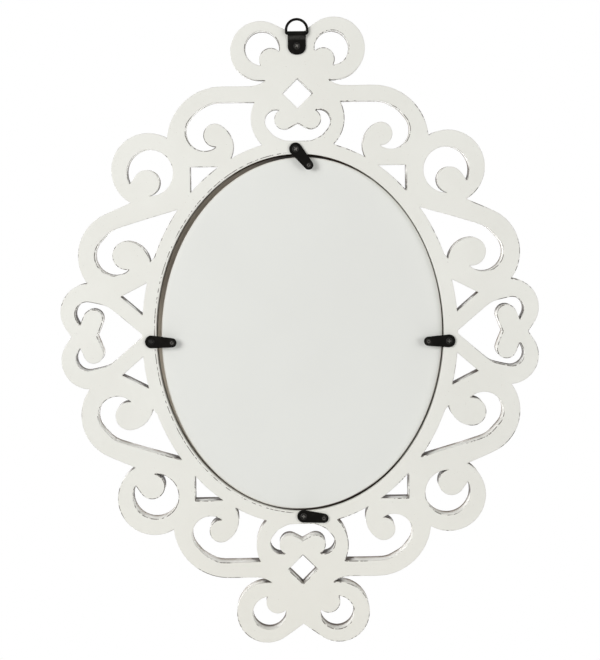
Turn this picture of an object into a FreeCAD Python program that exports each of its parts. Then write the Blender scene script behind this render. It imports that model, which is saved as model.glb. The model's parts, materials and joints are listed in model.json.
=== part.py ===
import FreeCAD
import Part
import Sketcher
import math
import os
from FreeCAD import Placement, Rotation, Vector

# Wall mirror seen from behind: a fretwork board with an oval rabbet, a glass and a back panel in it,
# four turn buttons on screws and a strap hanger with a D-ring.
# Millimetres, +Z up, the glass faces -Y, the wall is on the +Y side.
# The origin is where the nail bears, under the top of the D-ring's eye.

DOC = FreeCAD.newDocument("wall_mirror")
SHEET = DOC.addObject("Spreadsheet::Sheet", "sizes")

# Driving sizes: alias, value, meaning.
# Names ending in _out are measured outwards from the side of the oval band, names ending in _up
# upwards from the top of the oval band, _x and _z from the middle of the oval, _r are radii.
SIZES = [
    ("board_thick", 22.0, "thickness of the fretwork board"),
    ("cut_over", 1.0, "how far a cutter passes beyond a face"),
    ("oval_a", 142.5, "half width of the rabbet"),
    ("oval_b", 177.5, "half height of the rabbet"),
    ("oval_band", 14.0, "width of the band round the rabbet"),
    ("rabbet_depth", 14.0, "depth of the rabbet from the back"),
    ("lip", 6.5, "width of the lip in front of the glass"),
    ("lobe_x", 36.0, "crest lobe"),
    ("lobe_up", 88.5, "crest lobe"),
    ("lobe_r", 30.5, "crest lobe"),
    ("low_lobe_x", 35.7, "left crest lobe, sawn lower than the right one"),
    ("low_lobe_up", 86.0, "left crest lobe, sawn lower than the right one"),
    ("low_lobe_r", 29.4, "left crest lobe, sawn lower than the right one"),
    ("low_neck_r", 20.7, "disc beside the left crest lobe"),
    ("neck_up", 77.0, "disc between the crest lobes"),
    ("neck_r", 19.0, "disc between the crest lobes"),
    ("crotch_x", 46.5, "hollow between the crest lobe and the arm"),
    ("crotch_r", 24.5, "hollow between the crest lobe and the arm"),
    ("arm_up", 52.5, "top edge of the arm"),
    ("shoulder_x", 74.0, "round of the shoulder"),
    ("shoulder_r", 54.5, "round of the shoulder"),
    ("corner_out", -9.5, "corner lobe"),
    ("corner_up", -28.5, "corner lobe"),
    ("corner_r", 36.5, "corner lobe"),
    ("side_out", 16.5, "side scroll"),
    ("side_z", 79.0, "side scroll"),
    ("side_r", 45.0, "side scroll"),
    ("side_root_out", -49.0, "start of the side scroll on the oval band"),
    ("side_root_up", -66.5, "start of the side scroll on the oval band"),
    ("side_root_r", 29.0, "start of the side scroll on the oval band"),
    ("heart_out", 51.5, "heart lobe"),
    ("heart_z", 24.0, "heart lobe"),
    ("heart_r", 28.5, "heart lobe"),
    ("heart_notch_out", 45.0, "disc between the heart lobes"),
    ("heart_notch_r", 20.5, "disc between the heart lobes"),
    ("heart_root_out", -9.5, "start of the heart on the oval band"),
    ("heart_root_z", 24.5, "start of the heart on the oval band"),
    ("heart_root_r", 29.5, "start of the heart on the oval band"),
    ("crest_eye_x", 34.0, "eye of the crest lobe"),
    ("crest_eye_up", 89.0, "eye of the crest lobe"),
    ("crest_eye_r", 16.7, "eye of the crest lobe"),
    ("crest_ball_x", 25.6, "ball in the crest eye"),
    ("crest_ball_up", 78.0, "ball in the crest eye"),
    ("crest_ball_r", 11.4, "ball in the crest eye"),
    ("diamond_up", 45.0, "middle of the diamond"),
    ("diamond_r", 14.5, "half diagonal of the diamond"),
    ("belly_x", 10.5, "lower round of the crown opening"),
    ("belly_up", 11.5, "lower round of the crown opening"),
    ("belly_r", 12.5, "lower round of the crown opening"),
    ("crown_x", 21.0, "end round of the crown opening"),
    ("crown_up", 18.0, "end round of the crown opening"),
    ("crown_r", 11.2, "end round of the crown opening"),
    ("crown_swell", 1.3, "bulge of the crown opening between its rounds"),
    ("crown_ball_x", 13.0, "ball over the crown opening"),
    ("crown_ball_up", 20.0, "ball over the crown opening"),
    ("crown_ball_r", 10.0, "ball over the crown opening"),
    ("crown_stem_x", -3.5, "stem of the crown's ball"),
    ("crown_stem_up", 29.0, "stem of the crown's ball"),
    ("crown_band_x", 10.5, "outer edge of the crown"),
    ("crown_band_up", 20.5, "outer edge of the crown"),
    ("crown_band_r", 35.5, "outer edge of the crown"),
    ("arch_x", 78.0, "upper round of the shoulder opening"),
    ("arch_up", 12.5, "upper round of the shoulder opening"),
    ("arch_r", 24.2, "upper round of the shoulder opening"),
    ("curl_x", 91.5, "curl of the shoulder opening"),
    ("curl_up", 8.5, "curl of the shoulder opening"),
    ("curl_r", 18.6, "curl of the shoulder opening"),
    ("arch_swell", 1.2, "bulge of the shoulder opening between its rounds"),
    ("curl_stem_x", 88.0, "stem in the shoulder opening"),
    ("curl_stem_up", -6.4, "stem in the shoulder opening"),
    ("curl_stem_r", 24.7, "stem in the shoulder opening"),
    ("curl_lean", 30.6, "lean of the shoulder opening's ball, degrees"),
    ("curl_ball_r", 11.5, "ball in the shoulder opening"),
    ("corner_eye_out", -10.8, "eye of the corner lobe"),
    ("corner_eye_up", -31.0, "eye of the corner lobe"),
    ("corner_eye_r", 22.6, "eye of the corner lobe"),
    ("corner_ball_out", -7.2, "ball in the corner eye"),
    ("corner_ball_up", -41.0, "ball in the corner eye"),
    ("corner_ball_r", 12.9, "ball in the corner eye"),
    ("corner_stem_out", 1.8, "stem of the corner's ball"),
    ("corner_stem_up", -47.0, "stem of the corner's ball"),
    ("corner_stem_r", 9.0, "stem of the corner's ball"),
    ("spandrel_out", -50.3, "outer side of the corner spandrel"),
    ("spandrel_up", -26.0, "top of the corner spandrel"),
    ("drop_out", -54.2, "tip of the side opening, under the oval band"),
    ("drop_up", -63.4, "tip of the side opening, under the oval band"),
    ("drop_tip_r", 1.0, "rounding of the openings' tips"),
    ("drop_end_out", 15.3, "big round of the side opening"),
    ("drop_end_z", 82.3, "big round of the side opening"),
    ("drop_end_r", 25.0, "big round of the side opening"),
    ("side_curl_out", 25.5, "curl of the side opening"),
    ("side_curl_z", 79.4, "curl of the side opening"),
    ("side_curl_r", 19.4, "curl of the side opening"),
    ("side_stem_out", 14.8, "stem in the side opening"),
    ("side_stem_z", 69.2, "stem in the side opening"),
    ("side_stem_r", 24.6, "stem in the side opening"),
    ("side_lean", 6.2, "lean of the side opening's ball, degrees"),
    ("side_ball_r", 14.1, "ball in the side opening"),
    ("wedge_out", 20.2, "outer corner of the side wedge"),
    ("wedge_z", 39.0, "outer corner of the side wedge"),
    ("wedge_rise", 27.0, "slope of the wedge's upper edge, degrees"),
    ("wedge_fall", 41.0, "slope of the wedge's lower edge, degrees"),
    ("heart_tip_out", -0.4, "tip of the heart opening"),
    ("heart_side_out", 41.9, "side round of the heart opening"),
    ("heart_side_z", 13.2, "side round of the heart opening"),
    ("heart_side_r", 18.2, "side round of the heart opening"),
    ("heart_end_out", 53.5, "end round of the heart opening"),
    ("heart_end_z", 22.1, "end round of the heart opening"),
    ("heart_end_r", 12.1, "end round of the heart opening"),
    ("heart_ball_out", 48.2, "ball in the heart opening"),
    ("heart_ball_z", 17.0, "ball in the heart opening"),
    ("heart_ball_r", 9.9, "ball in the heart opening"),
    ("heart_stem_out", 55.0, "stem of the heart's balls"),
    ("heart_stem_half", 11.8, "half height of the heart's stem"),
    ("glass_thick", 3.0, "mirror glass"),
    ("glass_play", 1.2, "gap between glass and rabbet"),
    ("panel_thick", 5.0, "back panel"),
    ("panel_play_x", 3.2, "gap beside the panel when it is centred"),
    ("panel_play_z", 2.1, "gap above the panel when it is centred"),
    ("panel_shift", 1.8, "how far the panel sits off centre, towards -X"),
    ("panel_drop", 1.1, "how far the panel sits below the oval's middle"),
    ("panel_turn", -1.8, "turn of the panel about Y, degrees"),
    ("button_out", 4.8, "from the rabbet's edge to a button's screw"),
    ("left_drop", 5.8, "left button's screw below the oval's middle"),
    ("right_drop", 8.6, "right button's screw below the oval's middle"),
    ("top_shift", 2.4, "top button's screw beside the oval's middle"),
    ("bottom_shift", -1.2, "bottom button's screw beside the oval's middle"),
    ("turn_left", 176.5, "rest turn of the left button, degrees"),
    ("turn_right", 0.5, "rest turn of the right button, degrees"),
    ("turn_top", 128.5, "rest turn of the top button, degrees"),
    ("turn_bottom", 173.5, "rest turn of the bottom button, degrees"),
    ("turn_hanger", 38.0, "turn of the hanger screw's cross, degrees"),
    ("button_reach", 20.3, "from a button's screw to the middle of its tip"),
    ("button_root_r", 6.3, "round end at the screw"),
    ("button_tip_r", 4.6, "round end at the tip"),
    ("button_thick", 2.2, "button"),
    ("button_ease", 0.5, "eased upper edge of a button"),
    ("dimple_r", 1.3, "pressed dimple at the tip"),
    ("dimple_depth", 0.6, "pressed dimple at the tip"),
    ("screw_r", 1.5, "screw shank"),
    ("screw_length", 16.0, "screw under its head"),
    ("screw_point", 1.0, "blunt point of a screw"),
    ("screw_gap", 0.25, "gap between a screw and the hole it passes"),
    ("pilot_gap", 0.05, "gap between a screw and its pilot hole"),
    ("head_r", 3.2, "screw head"),
    ("head_height", 1.9, "screw head"),
    ("head_rim", 0.8, "straight rim of a screw head"),
    ("head_flat", 2.1, "flat top of a screw head"),
    ("recess_wide", 0.9, "cross recess in a screw head"),
    ("recess_long", 3.6, "cross recess in a screw head"),
    ("recess_deep", 1.0, "cross recess in a screw head"),
    ("bar_up", 102.7, "axis of the D-ring's bar above the oval band"),
    ("wire_r", 1.3, "wire of the D-ring"),
    ("ring_r", 10.3, "arch of the D-ring, along the wire's middle"),
    ("ring_leg", 3.5, "from the bar's axis to the start of the arch"),
    ("strap_sheet", 0.8, "thickness of the strap's sheet"),
    ("strap_wide", 17.7, "width of the strap"),
    ("strap_drop", 20.3, "from the bar's axis to the strap's lower end"),
    ("strap_round", 8.0, "corner radius of the strap's lower end"),
    ("strap_screw", 11.9, "from the bar's axis down to the hanger screw"),
    ("strap_crease", 7.0, "inside bend where the leaves meet"),
    ("bar_gap", 0.3, "gap between the bar and the strap's loop"),
]

for row, (alias, value, meaning) in enumerate(SIZES, start=1):
    SHEET.set("A%d" % row, meaning)
    SHEET.set("B%d" % row, repr(value))
    SHEET.setAlias("B%d" % row, alias)
DOC.recompute()


class Dim:
    """A length as an expression on the sheet, with its present value."""

    def __init__(self, text, value):
        self.text = text
        self.value = value

    def __add__(self, other):
        other = dim(other)
        return Dim("(%s + %s)" % (self.text, other.text), self.value + other.value)

    def __sub__(self, other):
        other = dim(other)
        return Dim("(%s - %s)" % (self.text, other.text), self.value - other.value)

    def __mul__(self, other):
        other = dim(other)
        return Dim("(%s * %s)" % (self.text, other.text), self.value * other.value)

    def __neg__(self):
        return self * -1


def dim(what):
    """A Dim from an alias, a plain number or a Dim."""
    if isinstance(what, Dim):
        return what
    if isinstance(what, str):
        return Dim("sizes." + what, float(SHEET.get(what)))
    return Dim(repr(float(what)), float(what))


def cosine(alias):
    return Dim("cos(sizes.%s * 1deg)" % alias, math.cos(math.radians(dim(alias).value)))


def sine(alias):
    return Dim("sin(sizes.%s * 1deg)" % alias, math.sin(math.radians(dim(alias).value)))


# Reference levels: the oval's middle and the board's back, seen from the nail.
BAND_A = dim("oval_a") + "oval_band"
BAND_B = dim("oval_b") + "oval_band"
BAR_Y = dim("strap_sheet") + "bar_gap" + "wire_r"
BAR_Z = BAND_B + "bar_up"
EYE_TOP = dim("ring_leg") + "ring_r" - "wire_r"
OVAL_Z = -(BAR_Z + EYE_TOP)
BACK_Y = -BAR_Y
FACING = Rotation(Vector(1, 0, 0), 90)


def place(thing, x, y, z, turn=None):
    """Binds an object's position to the sheet, and its turn about Y if one is given."""
    spots = (dim(x), dim(y), dim(z))
    if turn is not None:
        thing.Placement = Placement(Vector(0, 0, 0), Rotation(Vector(0, 1, 0), turn.value))
        thing.setExpression("Placement.Rotation.Angle", turn.text)
    for letter, spot in zip("xyz", spots):
        thing.setExpression("Placement.Base." + letter, spot.text)
    return thing


def outwards(alias):
    """X measured outwards from the side of the oval band."""
    return BAND_A + alias


def upwards(alias):
    """Z measured upwards from the top of the oval band."""
    return BAND_B + alias


# Fretwork pieces: every disc, slot and block stands square to the board. The openings' pieces pass
# beyond both faces, the blank's pieces end at them.


def depth(cutter):
    """Back level and thickness of a piece of the blank or of an opening."""
    if cutter:
        return BACK_Y + "cut_over", dim("board_thick") + dim("cut_over") * 2
    return BACK_Y, dim("board_thick")


def disc(name, x, z, r, cutter=True):
    back, thick = depth(cutter)
    shape = DOC.addObject("Part::Cylinder", name)
    shape.Placement = Placement(Vector(0, 0, 0), FACING)
    shape.setExpression("Radius", dim(r).text)
    shape.setExpression("Height", thick.text)
    return place(shape, x, back, OVAL_Z + z)


def block(name, x, wide, z, high, cutter=True):
    """A block from x over the width and from z over the height."""
    back, thick = depth(cutter)
    shape = DOC.addObject("Part::Box", name)
    shape.setExpression("Length", dim(wide).text)
    shape.setExpression("Width", thick.text)
    shape.setExpression("Height", dim(high).text)
    return place(shape, x, back - thick, OVAL_Z + z)


def ball(name, stem, r, lean):
    """A disc that touches a stem's round from inside, leaning from upright towards the oval's middle."""
    x, z, stem_r = [dim(v) for v in stem]
    reach = stem_r - r
    return disc(name, x - reach * sine(lean), z + reach * cosine(lean), r)


def bind(sketch, kind, *args):
    """Adds a driving constraint whose last argument is a Dim."""
    size = args[-1]
    index = sketch.addConstraint(Sketcher.Constraint(kind, *args[:-1], size.value))
    sketch.setExpression("Constraints[%d]" % index, size.text)


def draw_slot(sketch, x1, z1, r1, x2, z2, r2):
    """Outline round two circles, with tangent lines between them."""
    x1, z1, r1, x2, z2, r2 = [dim(v) for v in (x1, z1, r1, x2, z2, r2)]
    first = Vector(x1.value, z1.value, 0)
    second = Vector(x2.value, z2.value, 0)
    along = math.atan2(second.y - first.y, second.x - first.x)
    swing = math.acos((r1.value - r2.value) / first.distanceToPoint(second))
    up, down = along + swing, along - swing

    def rim(middle, r, angle):
        return middle + Vector(r * math.cos(angle), r * math.sin(angle), 0)

    normal = Vector(0, 0, 1)
    big = Part.ArcOfCircle(Part.Circle(first, normal, r1.value), up, down + 2 * math.pi)
    small = Part.ArcOfCircle(Part.Circle(second, normal, r2.value), down, up)
    low = Part.LineSegment(rim(first, r1.value, down), rim(second, r2.value, down))
    high = Part.LineSegment(rim(second, r2.value, up), rim(first, r1.value, up))
    g = sketch.addGeometry([big, low, small, high], False)
    for one, two in ((0, 1), (1, 2), (2, 3), (3, 0)):
        sketch.addConstraint(Sketcher.Constraint("Tangent", g[one], 2, g[two], 1))
    for arc, x, z, r in ((g[0], x1, z1, r1), (g[2], x2, z2, r2)):
        bind(sketch, "DistanceX", -1, 1, arc, 3, x)
        bind(sketch, "DistanceY", -1, 1, arc, 3, z)
        bind(sketch, "Radius", arc, r)


def extruded(name, sketch, cutter):
    """A sketch in the board's plane, extruded through the board."""
    back, thick = depth(cutter)
    sketch.Placement = Placement(Vector(0, 0, 0), FACING)
    place(sketch, 0, back, OVAL_Z)
    shape = DOC.addObject("Part::Extrusion", name)
    shape.Base = sketch
    shape.DirMode = "Custom"
    shape.Dir = Vector(0, -1, 0)
    shape.Solid = True
    shape.setExpression("LengthFwd", thick.text)
    return shape


def slot(name, first, second, cutter=True):
    """A tapered slot: two discs, each (x, z, r), and all that lies between them."""
    sketch = DOC.addObject("Sketcher::SketchObject", name + "_outline")
    draw_slot(sketch, *first, *second)
    return extruded(name, sketch, cutter)


def bulged(name, first, second, swell):
    """Two slots that meet in a disc halfway between two discs, larger than their mean by a swell."""
    x, z, r = [(dim(here) + dim(there)) * 0.5 for here, there in zip(first, second)]
    middle = (x, z, r + swell)
    return [slot(name + "_rise", first, middle), slot(name + "_end", middle, second)]


def oval(name, a, b, y, thick, x=0, z=OVAL_Z, turn=None):
    """An upright elliptic plate whose back is at y, turned about Y if a turn is given."""
    edge = DOC.addObject("Part::Ellipse", name + "_outline")
    upright = Rotation(Vector(0, 0, 1), Vector(-1, 0, 0), Vector(0, -1, 0), "ZXY")
    edge.Placement = Placement(Vector(0, 0, 0), upright)
    edge.setExpression("MajorRadius", dim(b).text)
    edge.setExpression("MinorRadius", dim(a).text)
    shape = DOC.addObject("Part::Extrusion", name)
    shape.Base = edge
    shape.DirMode = "Custom"
    shape.Dir = Vector(0, -1, 0)
    shape.Solid = True
    shape.setExpression("LengthFwd", dim(thick).text)
    return place(shape, x, y, z, turn)


def join(name, pieces):
    shape = DOC.addObject("Part::MultiFuse", name)
    shape.Shapes = pieces
    shape.Refine = True
    return shape


def cut(name, base, *tools):
    shape = DOC.addObject("Part::Cut", name)
    shape.Base = base
    shape.Tool = tools[0] if len(tools) == 1 else join(name + "_tools", list(tools))
    return shape


# Fretwork board: one quarter, right of and above the oval's middle, mirrored to the other three.
lobe = ("lobe_x", upwards("lobe_up"), "lobe_r")
neck = (0, upwards("neck_up"), "neck_r")
heart = (outwards("heart_out"), "heart_z", "heart_r")
arm_top = upwards("arm_up")
crotch = disc("crotch", "crotch_x", arm_top + "crotch_r", "crotch_r")
neck_block = block("neck_block", 0, "crotch_x", arm_top - "crotch_r",
                   dim("neck_up") - "arm_up" + "crotch_r", False)
blank = join("blank", [
    oval("oval_disc", BAND_A, BAND_B, BACK_Y, "board_thick"),
    slot("crest_lobe", lobe, neck, False),
    cut("neck_web", neck_block, crotch),
    block("arm", 0, "shoulder_x", arm_top - dim("shoulder_r") * 1.5, dim("shoulder_r") * 1.5, False),
    disc("shoulder", "shoulder_x", arm_top - "shoulder_r", "shoulder_r", False),
    disc("corner_lobe", outwards("corner_out"), upwards("corner_up"), "corner_r", False),
    slot("side_scroll", (outwards("side_out"), "side_z", "side_r"),
         (outwards("side_root_out"), upwards("side_root_up"), "side_root_r"), False),
    slot("heart_lobe", heart, (outwards("heart_notch_out"), 0, "heart_notch_r"), False),
    slot("heart_flank", heart, (outwards("heart_root_out"), "heart_root_z", "heart_root_r"), False),
])

# Crest: an eye with a ball, and the diamond between the two lobes.
crest_eye = cut("crest_eye", disc("crest_round", "crest_eye_x", upwards("crest_eye_up"), "crest_eye_r"),
                disc("crest_ball", "crest_ball_x", upwards("crest_ball_up"), "crest_ball_r"))
back_level, through = depth(True)
diamond = DOC.addObject("Part::Prism", "diamond")
diamond.Polygon = 4
diamond.Placement = Placement(Vector(0, 0, 0), FACING)
diamond.setExpression("Circumradius", "sizes.diamond_r")
diamond.setExpression("Height", through.text)
place(diamond, 0, back_level, OVAL_Z + upwards("diamond_up"))

# Crown: a bowl-shaped opening under two balls that meet in a point.
belly = ("belly_x", upwards("belly_up"), "belly_r")
crown_end = ("crown_x", upwards("crown_up"), "crown_r")
crown_ball = ("crown_ball_x", upwards("crown_ball_up"), "crown_ball_r")
crown_stem = ("crown_stem_x", upwards("crown_stem_up"), "crown_ball_r")
bowl = join("bowl", [
    block("bowl_floor", dim("belly_x") * -1, dim("belly_x") * 2, upwards("belly_up") - "belly_r",
          dim("belly_r") * 2),
] + bulged("bowl", belly, crown_end, "crown_swell"))
crown = cut("crown", bowl, slot("crown_curl", crown_ball, crown_stem),
            block("crown_core", dim("crown_ball_x") * -0.5, "crown_ball_x", upwards("crown_ball_up"),
                  "crown_ball_r"))

# Shoulder: an arch over a ball on a stem, closed below by the oval band and inside by the crown.
band = oval("band_keep", BAND_A, BAND_B, back_level, through)
arch_round = ("arch_x", upwards("arch_up"), "arch_r")
curl = ("curl_x", upwards("curl_up"), "curl_r")
arch = join("arch", [
    block("arch_bay", 0, "arch_x", upwards("arch_up") - dim("arch_r") * 2, dim("arch_r") * 3),
] + bulged("arch", arch_round, curl, "arch_swell"))
curl_stem = ("curl_stem_x", upwards("curl_stem_up"), "curl_stem_r")
arch_bay = cut("arch_open", arch, disc("curl_stem", *curl_stem))
curled = join("arch_curled", [arch_bay, disc("curl", *curl)])
shoulder = cut("shoulder_opening", curled,
               ball("curl_ball", curl_stem, "curl_ball_r", "curl_lean"),
               disc("crown_band", "crown_band_x", upwards("crown_band_up"), "crown_band_r"), band)

# Corner: an eye with a ball, and a three-sided spandrel against the oval band.
corner_ball = (outwards("corner_ball_out"), upwards("corner_ball_up"), "corner_ball_r")
corner_stem = (outwards("corner_stem_out"), upwards("corner_stem_up"), "corner_stem_r")
corner_eye = cut("corner_eye",
                 disc("corner_round", outwards("corner_eye_out"), upwards("corner_eye_up"), "corner_eye_r"),
                 slot("corner_curl", corner_ball, corner_stem))
spandrel = cut("spandrel",
               block("spandrel_block", outwards("spandrel_out") - "corner_r", "corner_r",
                     upwards("spandrel_up") - dim("corner_r") * 1.2, dim("corner_r") * 1.2), band)

# Side: a drop-shaped opening that curls round a ball on a stem, closed inside by the oval band.
drop_tip = (outwards("drop_out"), upwards("drop_up"), "drop_tip_r")
drop_end = (outwards("drop_end_out"), "drop_end_z", "drop_end_r")
side_curl = (outwards("side_curl_out"), "side_curl_z", "side_curl_r")
bulge = cut("drop_bulge", slot("drop_hull", drop_end, side_curl),
            block("drop_lower", BAND_A - "drop_end_r", dim("drop_end_r") * 4,
                  dim("side_curl_z") - dim("drop_end_r") * 2, dim("drop_end_r") * 2))
side_stem = (outwards("side_stem_out"), "side_stem_z", "side_stem_r")
drop = cut("drop_open", join("drop", [slot("drop_flank", drop_end, drop_tip), bulge]),
           disc("side_stem", *side_stem))
side = cut("side_opening", join("drop_curled", [drop, disc("side_curl", *side_curl)]),
           ball("side_ball", side_stem, "side_ball_r", "side_lean"), band)

# Wedge between the side scroll and the heart: a triangle against the oval band.
wedge_sketch = DOC.addObject("Sketcher::SketchObject", "wedge_outline")
edge_long = dim("oval_band") * 3
corner_x, corner_z = outwards("wedge_out"), dim("wedge_z")
point = Vector(corner_x.value, corner_z.value, 0)
upper = point + Vector(-cosine("wedge_rise").value, sine("wedge_rise").value, 0) * edge_long.value
lower = point - Vector(cosine("wedge_fall").value, sine("wedge_fall").value, 0) * edge_long.value
sides = wedge_sketch.addGeometry([Part.LineSegment(point, upper), Part.LineSegment(upper, lower),
                                  Part.LineSegment(lower, point)], False)
for here, there in ((0, 1), (1, 2), (2, 0)):
    wedge_sketch.addConstraint(Sketcher.Constraint("Coincident", sides[here], 2, sides[there], 1))
bind(wedge_sketch, "DistanceX", -1, 1, sides[0], 1, corner_x)
bind(wedge_sketch, "DistanceY", -1, 1, sides[0], 1, corner_z)
for line, first_end, slope, sign in ((sides[0], 1, "wedge_rise", 1), (sides[2], 2, "wedge_fall", -1)):
    bind(wedge_sketch, "DistanceX", line, first_end, line, 3 - first_end, -edge_long * cosine(slope))
    bind(wedge_sketch, "DistanceY", line, first_end, line, 3 - first_end, edge_long * sine(slope) * sign)
wedge = cut("wedge", extruded("wedge_block", wedge_sketch, True), band)

# Heart: an opening with its tip on the oval band and two balls on a short stem from the notch.
heart_tip = (outwards("heart_tip_out"), 0, "drop_tip_r")
heart_side = (outwards("heart_side_out"), "heart_side_z", "heart_side_r")
heart_end = (outwards("heart_end_out"), "heart_end_z", "heart_end_r")
heart_ball = (outwards("heart_ball_out"), "heart_ball_z", "heart_ball_r")
heart_stem = (outwards("heart_stem_out"), 0, "heart_ball_r")
heart_hollow = join("heart_hollow", [slot("heart_flank_cut", heart_side, heart_tip),
                                     slot("heart_end_cut", heart_side, heart_end)])
heart_opening = cut("heart_opening", heart_hollow, slot("heart_curl", heart_ball, heart_stem),
                    block("heart_stem", outwards("heart_ball_out"), dim("heart_r") * 2,
                          -dim("heart_stem_half"), dim("heart_stem_half") * 2), band)

frets = join("frets", [crest_eye, diamond, crown, shoulder, corner_eye, spandrel, side, wedge, heart_opening])
rabbet = oval("rabbet", "oval_a", "oval_b", back_level, dim("rabbet_depth") + "cut_over")
sight = oval("sight", dim("oval_a") - "lip", dim("oval_b") - "lip", back_level, through)
pierced = cut("pierced", blank, frets, rabbet, sight)
quadrant = block("quadrant", 0, BAND_A + "heart_out" + dim("heart_r") * 2, 0,
                 BAND_B + "lobe_up" + dim("lobe_r") * 2)
quarter = DOC.addObject("Part::Common", "quarter")
quarter.Base = pierced
quarter.Tool = quadrant


def mirrored(name, source, normal):
    shape = DOC.addObject("Part::Mirroring", name)
    shape.Source = source
    shape.Normal = normal
    shape.setExpression("Base.z", OVAL_Z.text)
    return shape


across = mirrored("quarter_across", quarter, Vector(1, 0, 0))
quarters = [quarter, across]
quarters += [mirrored("quarter_below_%d" % i, part, Vector(0, 0, 1)) for i, part in enumerate(quarters)]
fretwork = join("fretwork", quarters)

# The crest's left lobe is sawn lower: what rises above the lower lobe comes off.
low_from = arm_top + dim("crotch_r") * 0.7
low_crest = cut("low_crest", block("low_block", 0, dim("lobe_x") + "lobe_r" + "cut_over", low_from,
                                   upwards("lobe_up") + "lobe_r" + "cut_over" - low_from),
                slot("low_lobe", ("low_lobe_x", upwards("low_lobe_up"), "low_lobe_r"),
                     (0, upwards("neck_up"), "low_neck_r")))

# Button positions seen from behind, left being +X: where each screw stands and which way its tip points.
BUTTONS = {
    "left": (dim("oval_a") + "button_out", OVAL_Z - "left_drop", "turn_left"),
    "right": (-(dim("oval_a") + "button_out"), OVAL_Z - "right_drop", "turn_right"),
    "top": (dim("top_shift"), OVAL_Z + "oval_b" + "button_out", "turn_top"),
    "bottom": (dim("bottom_shift"), OVAL_Z - "oval_b" - "button_out", "turn_bottom"),
}
HANGER_Z = OVAL_Z + BAR_Z - "strap_screw"
SCREW_TOP = BACK_Y + "button_thick"
STRAP_TOP = BACK_Y + dim("strap_sheet") * 2


def pilot(name, x, head_y, z):
    """A drilled hole under a screw, as deep as its shank reaches."""
    hole = DOC.addObject("Part::Cylinder", name)
    hole.Placement = Placement(Vector(0, 0, 0), FACING)
    hole.setExpression("Radius", (dim("screw_r") + "pilot_gap").text)
    hole.setExpression("Height", (dim("screw_length") + "pilot_gap").text)
    return place(hole, x, head_y, z)


pilots = [pilot("pilot_" + side_name, x, SCREW_TOP, z) for side_name, (x, z, turn) in BUTTONS.items()]
pilots.append(pilot("pilot_hanger", 0, STRAP_TOP, HANGER_Z))
scroll_frame = cut("scroll_frame", fretwork, low_crest, *pilots)

# Glass on the lip, panel on the glass. The panel lies a little askew in the rabbet.
lip_y = BACK_Y - "rabbet_depth"
mirror_glass = oval("mirror_glass", dim("oval_a") - "glass_play", dim("oval_b") - "glass_play",
                    lip_y + "glass_thick", "glass_thick")
back_panel = oval("back_panel", dim("oval_a") - "panel_play_x", dim("oval_b") - "panel_play_z",
                  lip_y + "glass_thick" + "panel_thick", "panel_thick",
                  -dim("panel_shift"), OVAL_Z - "panel_drop", dim("panel_turn"))


# Hardware bodies.
def body_sketch(body, name, role):
    """A sketch on one of the body's own origin planes."""
    sketch = body.newObject("Sketcher::SketchObject", name)
    plane = [f for f in body.Origin.OriginFeatures if f.Role == role][0]
    sketch.AttachmentSupport = [(plane, "")]
    sketch.MapMode = "FlatFace"
    return sketch


def polyline(sketch, points):
    """A closed outline of straight lines."""
    ends = points[1:] + points[:1]
    lines = sketch.addGeometry([Part.LineSegment(Vector(*p, 0), Vector(*q, 0)) for p, q in zip(points, ends)])
    for this, after in zip(lines, lines[1:] + lines[:1]):
        sketch.addConstraint(Sketcher.Constraint("Coincident", this, 2, after, 1))
    return lines


def pinned(sketch, geometry, end, x, z):
    """Pins a point of the sketch to sheet sizes."""
    bind(sketch, "DistanceX", -1, 1, geometry, end, dim(x))
    bind(sketch, "DistanceY", -1, 1, geometry, end, dim(z))


def feature(body, kind, name, sketch, length=None, reverse=False, middle=False):
    made = body.newObject("PartDesign::" + kind, name)
    made.Profile = sketch
    if length is None:
        made.Type = "ThroughAll"
    else:
        made.setExpression("Length", dim(length).text)
    made.Reversed = reverse
    if middle:
        made.SideType = "Symmetric"
    sketch.Visibility = False
    return made


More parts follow.
